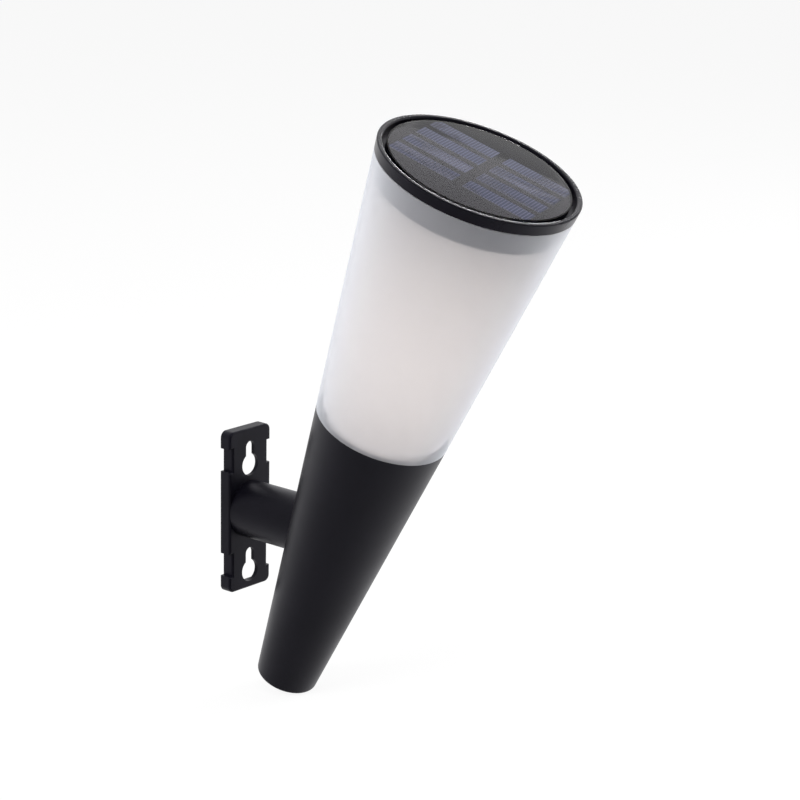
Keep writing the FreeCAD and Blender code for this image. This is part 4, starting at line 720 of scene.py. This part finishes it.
ring_seats = [on_lamp(SEAT_RING * math.sin(a), SEAT_RING * math.cos(a), BASE_UNDER)
              for a in (0.0, math.tau / 3, -math.tau / 3)]
lid_seats = [on_lamp(x, LID_Y, LID_UNDER) for x in (-LID_X, LID_X)]
arm_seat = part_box("arm_screws")[1].y - ARM_HEAD * MM
plate_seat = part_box("plate_screws")[1].y - PLATE_HEAD * MM
seat_screws("base_screw_set", "head", "base_screws", ring_seats, DOWN_THE_LAMP,
            head_radius=2.0, head_height=1.4, shank_radius=1.1, length=6.5, pitch=0.8)
seat_screws("lid_screw_set", "head", "cover_screws", lid_seats, DOWN_THE_LAMP,
            head_radius=1.8, head_height=1.2, shank_radius=0.95, length=4.2, pitch=0.7)
seat_screws("arm_screw_set", "lamp", "arm_screws",
            [(x * MM, arm_seat, 0.0) for x in (-ARM_X, ARM_X)], TO_THE_WALL,
            head_radius=2.8, head_height=ARM_HEAD, shank_radius=1.5, length=10.0, pitch=1.1)
seat_screws("plate_screw_set", "lamp", "plate_screws",
            [(0.0, plate_seat, z * MM) for z in (-PLATE_Z, PLATE_Z)], TO_THE_WALL,
            head_radius=2.9, head_height=PLATE_HEAD, shank_radius=1.5, length=13.0, pitch=1.1)
bpy.data.objects.remove(HEAD_BLANK)

# %% [markdown]
# ## The studio
# The picture has a white sheet behind the lamp and a dim room in front of it: the black parts
# stay deep where they face us and turn pale along their outlines. A world that was white all
# round would need plastic with no shine. This one is white towards the sheet, behind and to the
# right, and falls to dark grey on the other side. It stays where it is for every view, and
# plastic and metal show it. What the camera sees directly or through glass is white all round.
# Four soft lamps light the shade and the panel without drawing themselves on the plastic. A small
# fifth one is seen in gloss alone: it gives the lip, the disc and the plate their thin bright
# edges. Rays that pass through the clear disc see no lamp, or it would show there as a round
# spot.

# %% Light the world
SHEET_WAY = Vector((0.80, 0.60, -0.30)).normalized()
WHITE_FROM, FALL_POWER, DIM_ROOM = 0.9, 2.2, 0.08
WHITE = (1.0, 1.0, 1.0, 1.0)

world = bpy.data.worlds.new("white_sheet_and_dim_room")
bpy.context.scene.world = world
world.use_nodes = True
sky = world.node_tree
sky.nodes.clear()
toward = add_node(sky, "ShaderNodeTexCoord").outputs["Generated"]
facing = add_node(sky, "ShaderNodeVectorMath", {0: toward, 1: SHEET_WAY},
                  operation="DOT_PRODUCT")
near = add_node(sky, "ShaderNodeMapRange", {
    "Value": facing.outputs["Value"], "From Min": -1.0, "From Max": WHITE_FROM})
bent = add_node(sky, "ShaderNodeMath", {0: near.outputs["Result"], 1: FALL_POWER},
                operation="POWER")
sheet = add_node(sky, "ShaderNodeMapRange", {
    "Value": bent.outputs[0], "To Min": DIM_ROOM, "To Max": 1.0})
ray = add_node(sky, "ShaderNodeLightPath")
seen = add_node(sky, "ShaderNodeMath", {
    0: ray.outputs["Is Camera Ray"], 1: ray.outputs["Is Transmission Ray"]}, operation="MAXIMUM")
strength = add_node(sky, "ShaderNodeMath", {0: sheet.outputs["Result"], 1: seen.outputs[0]},
                    operation="MAXIMUM")
light = add_node(sky, "ShaderNodeBackground", {
    "Color": WHITE, "Strength": strength.outputs[0]})
add_node(sky, "ShaderNodeOutputWorld", {"Surface": light.outputs["Background"]})
print("world: sheet toward", [round(v, 2) for v in SHEET_WAY])

# %% Add the soft lamps
LIT_POINT = Vector((0.0, -0.06, 0.05))


def soft_lamp(name, place, across, watts, seen_in_gloss=False):
    """A round lamp, in metres and watts, aimed at the lower part of the shade."""
    lamp = bpy.data.lights.new(name, "AREA")
    lamp.shape, lamp.size, lamp.energy = "DISK", across, watts
    holder = bpy.data.objects.new(name, lamp)
    in_scene.link(holder)
    aim = LIT_POINT - Vector(place)
    holder.rotation_euler = aim.to_track_quat("-Z", "Y").to_euler()
    holder.location = place
    holder.visible_glossy = seen_in_gloss
    holder.visible_transmission = False
    return holder


soft_lamp("overhead_lamp", (-0.2, -0.3, 1.3), across=1.0, watts=5.0)
soft_lamp("left_lamp", (-1.1, 0.1, 0.7), across=0.8, watts=10.0)
soft_lamp("front_lamp", (-0.3, -1.2, 0.5), across=0.8, watts=1.0)
soft_lamp("right_lamp", (1.0, -0.5, 0.6), across=0.8, watts=8.5)
edge_lamp = soft_lamp("edge_lamp", (1.0, 0.44, 0.49), across=0.1, watts=1.3, seen_in_gloss=True)
edge_lamp.visible_diffuse = False

# %% [markdown]
# ## The floor
# The floor is a plain pale sheet just under the foot. For the camera it is mostly a white card,
# so the background stays white, with enough plain diffuse in it to keep the lamp's soft shadow.
# It isn't mirrored in the plastic, because the real lamp hangs on a wall, far above any floor.

# %% Lay the floor
FIBRES_PER_METRE = 900.0
CARD_SHARE, CARD_STRENGTH = 0.84, 1.06     # how much of the paper the camera sees as a white card
HALF_SIDE, UNDER_THE_FOOT = 8.0, 0.0002    # metres

floor_finish, floor_tree = new_finish("pale_paper_sheet")
fibre = add_node(floor_tree, "ShaderNodeTexNoise", {
    "Vector": add_node(floor_tree, "ShaderNodeTexCoord").outputs["Object"],
    "Scale": FIBRES_PER_METRE})
pulp = add_node(floor_tree, "ShaderNodeMix", {
    0: fibre.outputs["Fac"], MIX_A: hex_colour("#f4f4f4"), MIX_B: hex_colour("#f0f0f0")},
    data_type="RGBA")
paper = add_node(floor_tree, "ShaderNodeBsdfDiffuse", {"Color": pulp.outputs[MIX_RESULT]})
card = add_node(floor_tree, "ShaderNodeEmission", {"Color": WHITE, "Strength": CARD_STRENGTH})
ray = add_node(floor_tree, "ShaderNodeLightPath")
share = add_node(floor_tree, "ShaderNodeMath", {
    0: ray.outputs["Is Camera Ray"], 1: CARD_SHARE}, operation="MULTIPLY")
both = add_node(floor_tree, "ShaderNodeMixShader", {
    0: share.outputs[0], 1: paper.outputs["BSDF"], 2: card.outputs["Emission"]})
add_node(floor_tree, "ShaderNodeOutputMaterial", {"Surface": both.outputs["Shader"]})

floor_level = cad_box[0].z - UNDER_THE_FOOT
sheet_mesh = bpy.data.meshes.new("floor")
sheet_mesh.from_pydata([(x * HALF_SIDE, y * HALF_SIDE, floor_level)
                        for x, y in ((-1, -1), (1, -1), (1, 1), (-1, 1))], [], [(0, 1, 2, 3)])
sheet_mesh.materials.append(floor_finish)
floor = bpy.data.objects.new("floor", sheet_mesh)
in_scene.link(floor)
floor.visible_glossy = False
print("floor level, mm:", round(floor_level / MM, 2))

# %% [markdown]
# ## Finish
# The picture is shown as plain sRGB, and the frame's box is printed.

# %% Set the view and print the frame's box
bpy.context.scene.view_settings.view_transform = "Standard"
print("CAD box, mm:", [[round(v / MM, 2) for v in corner] for corner in cad_box])
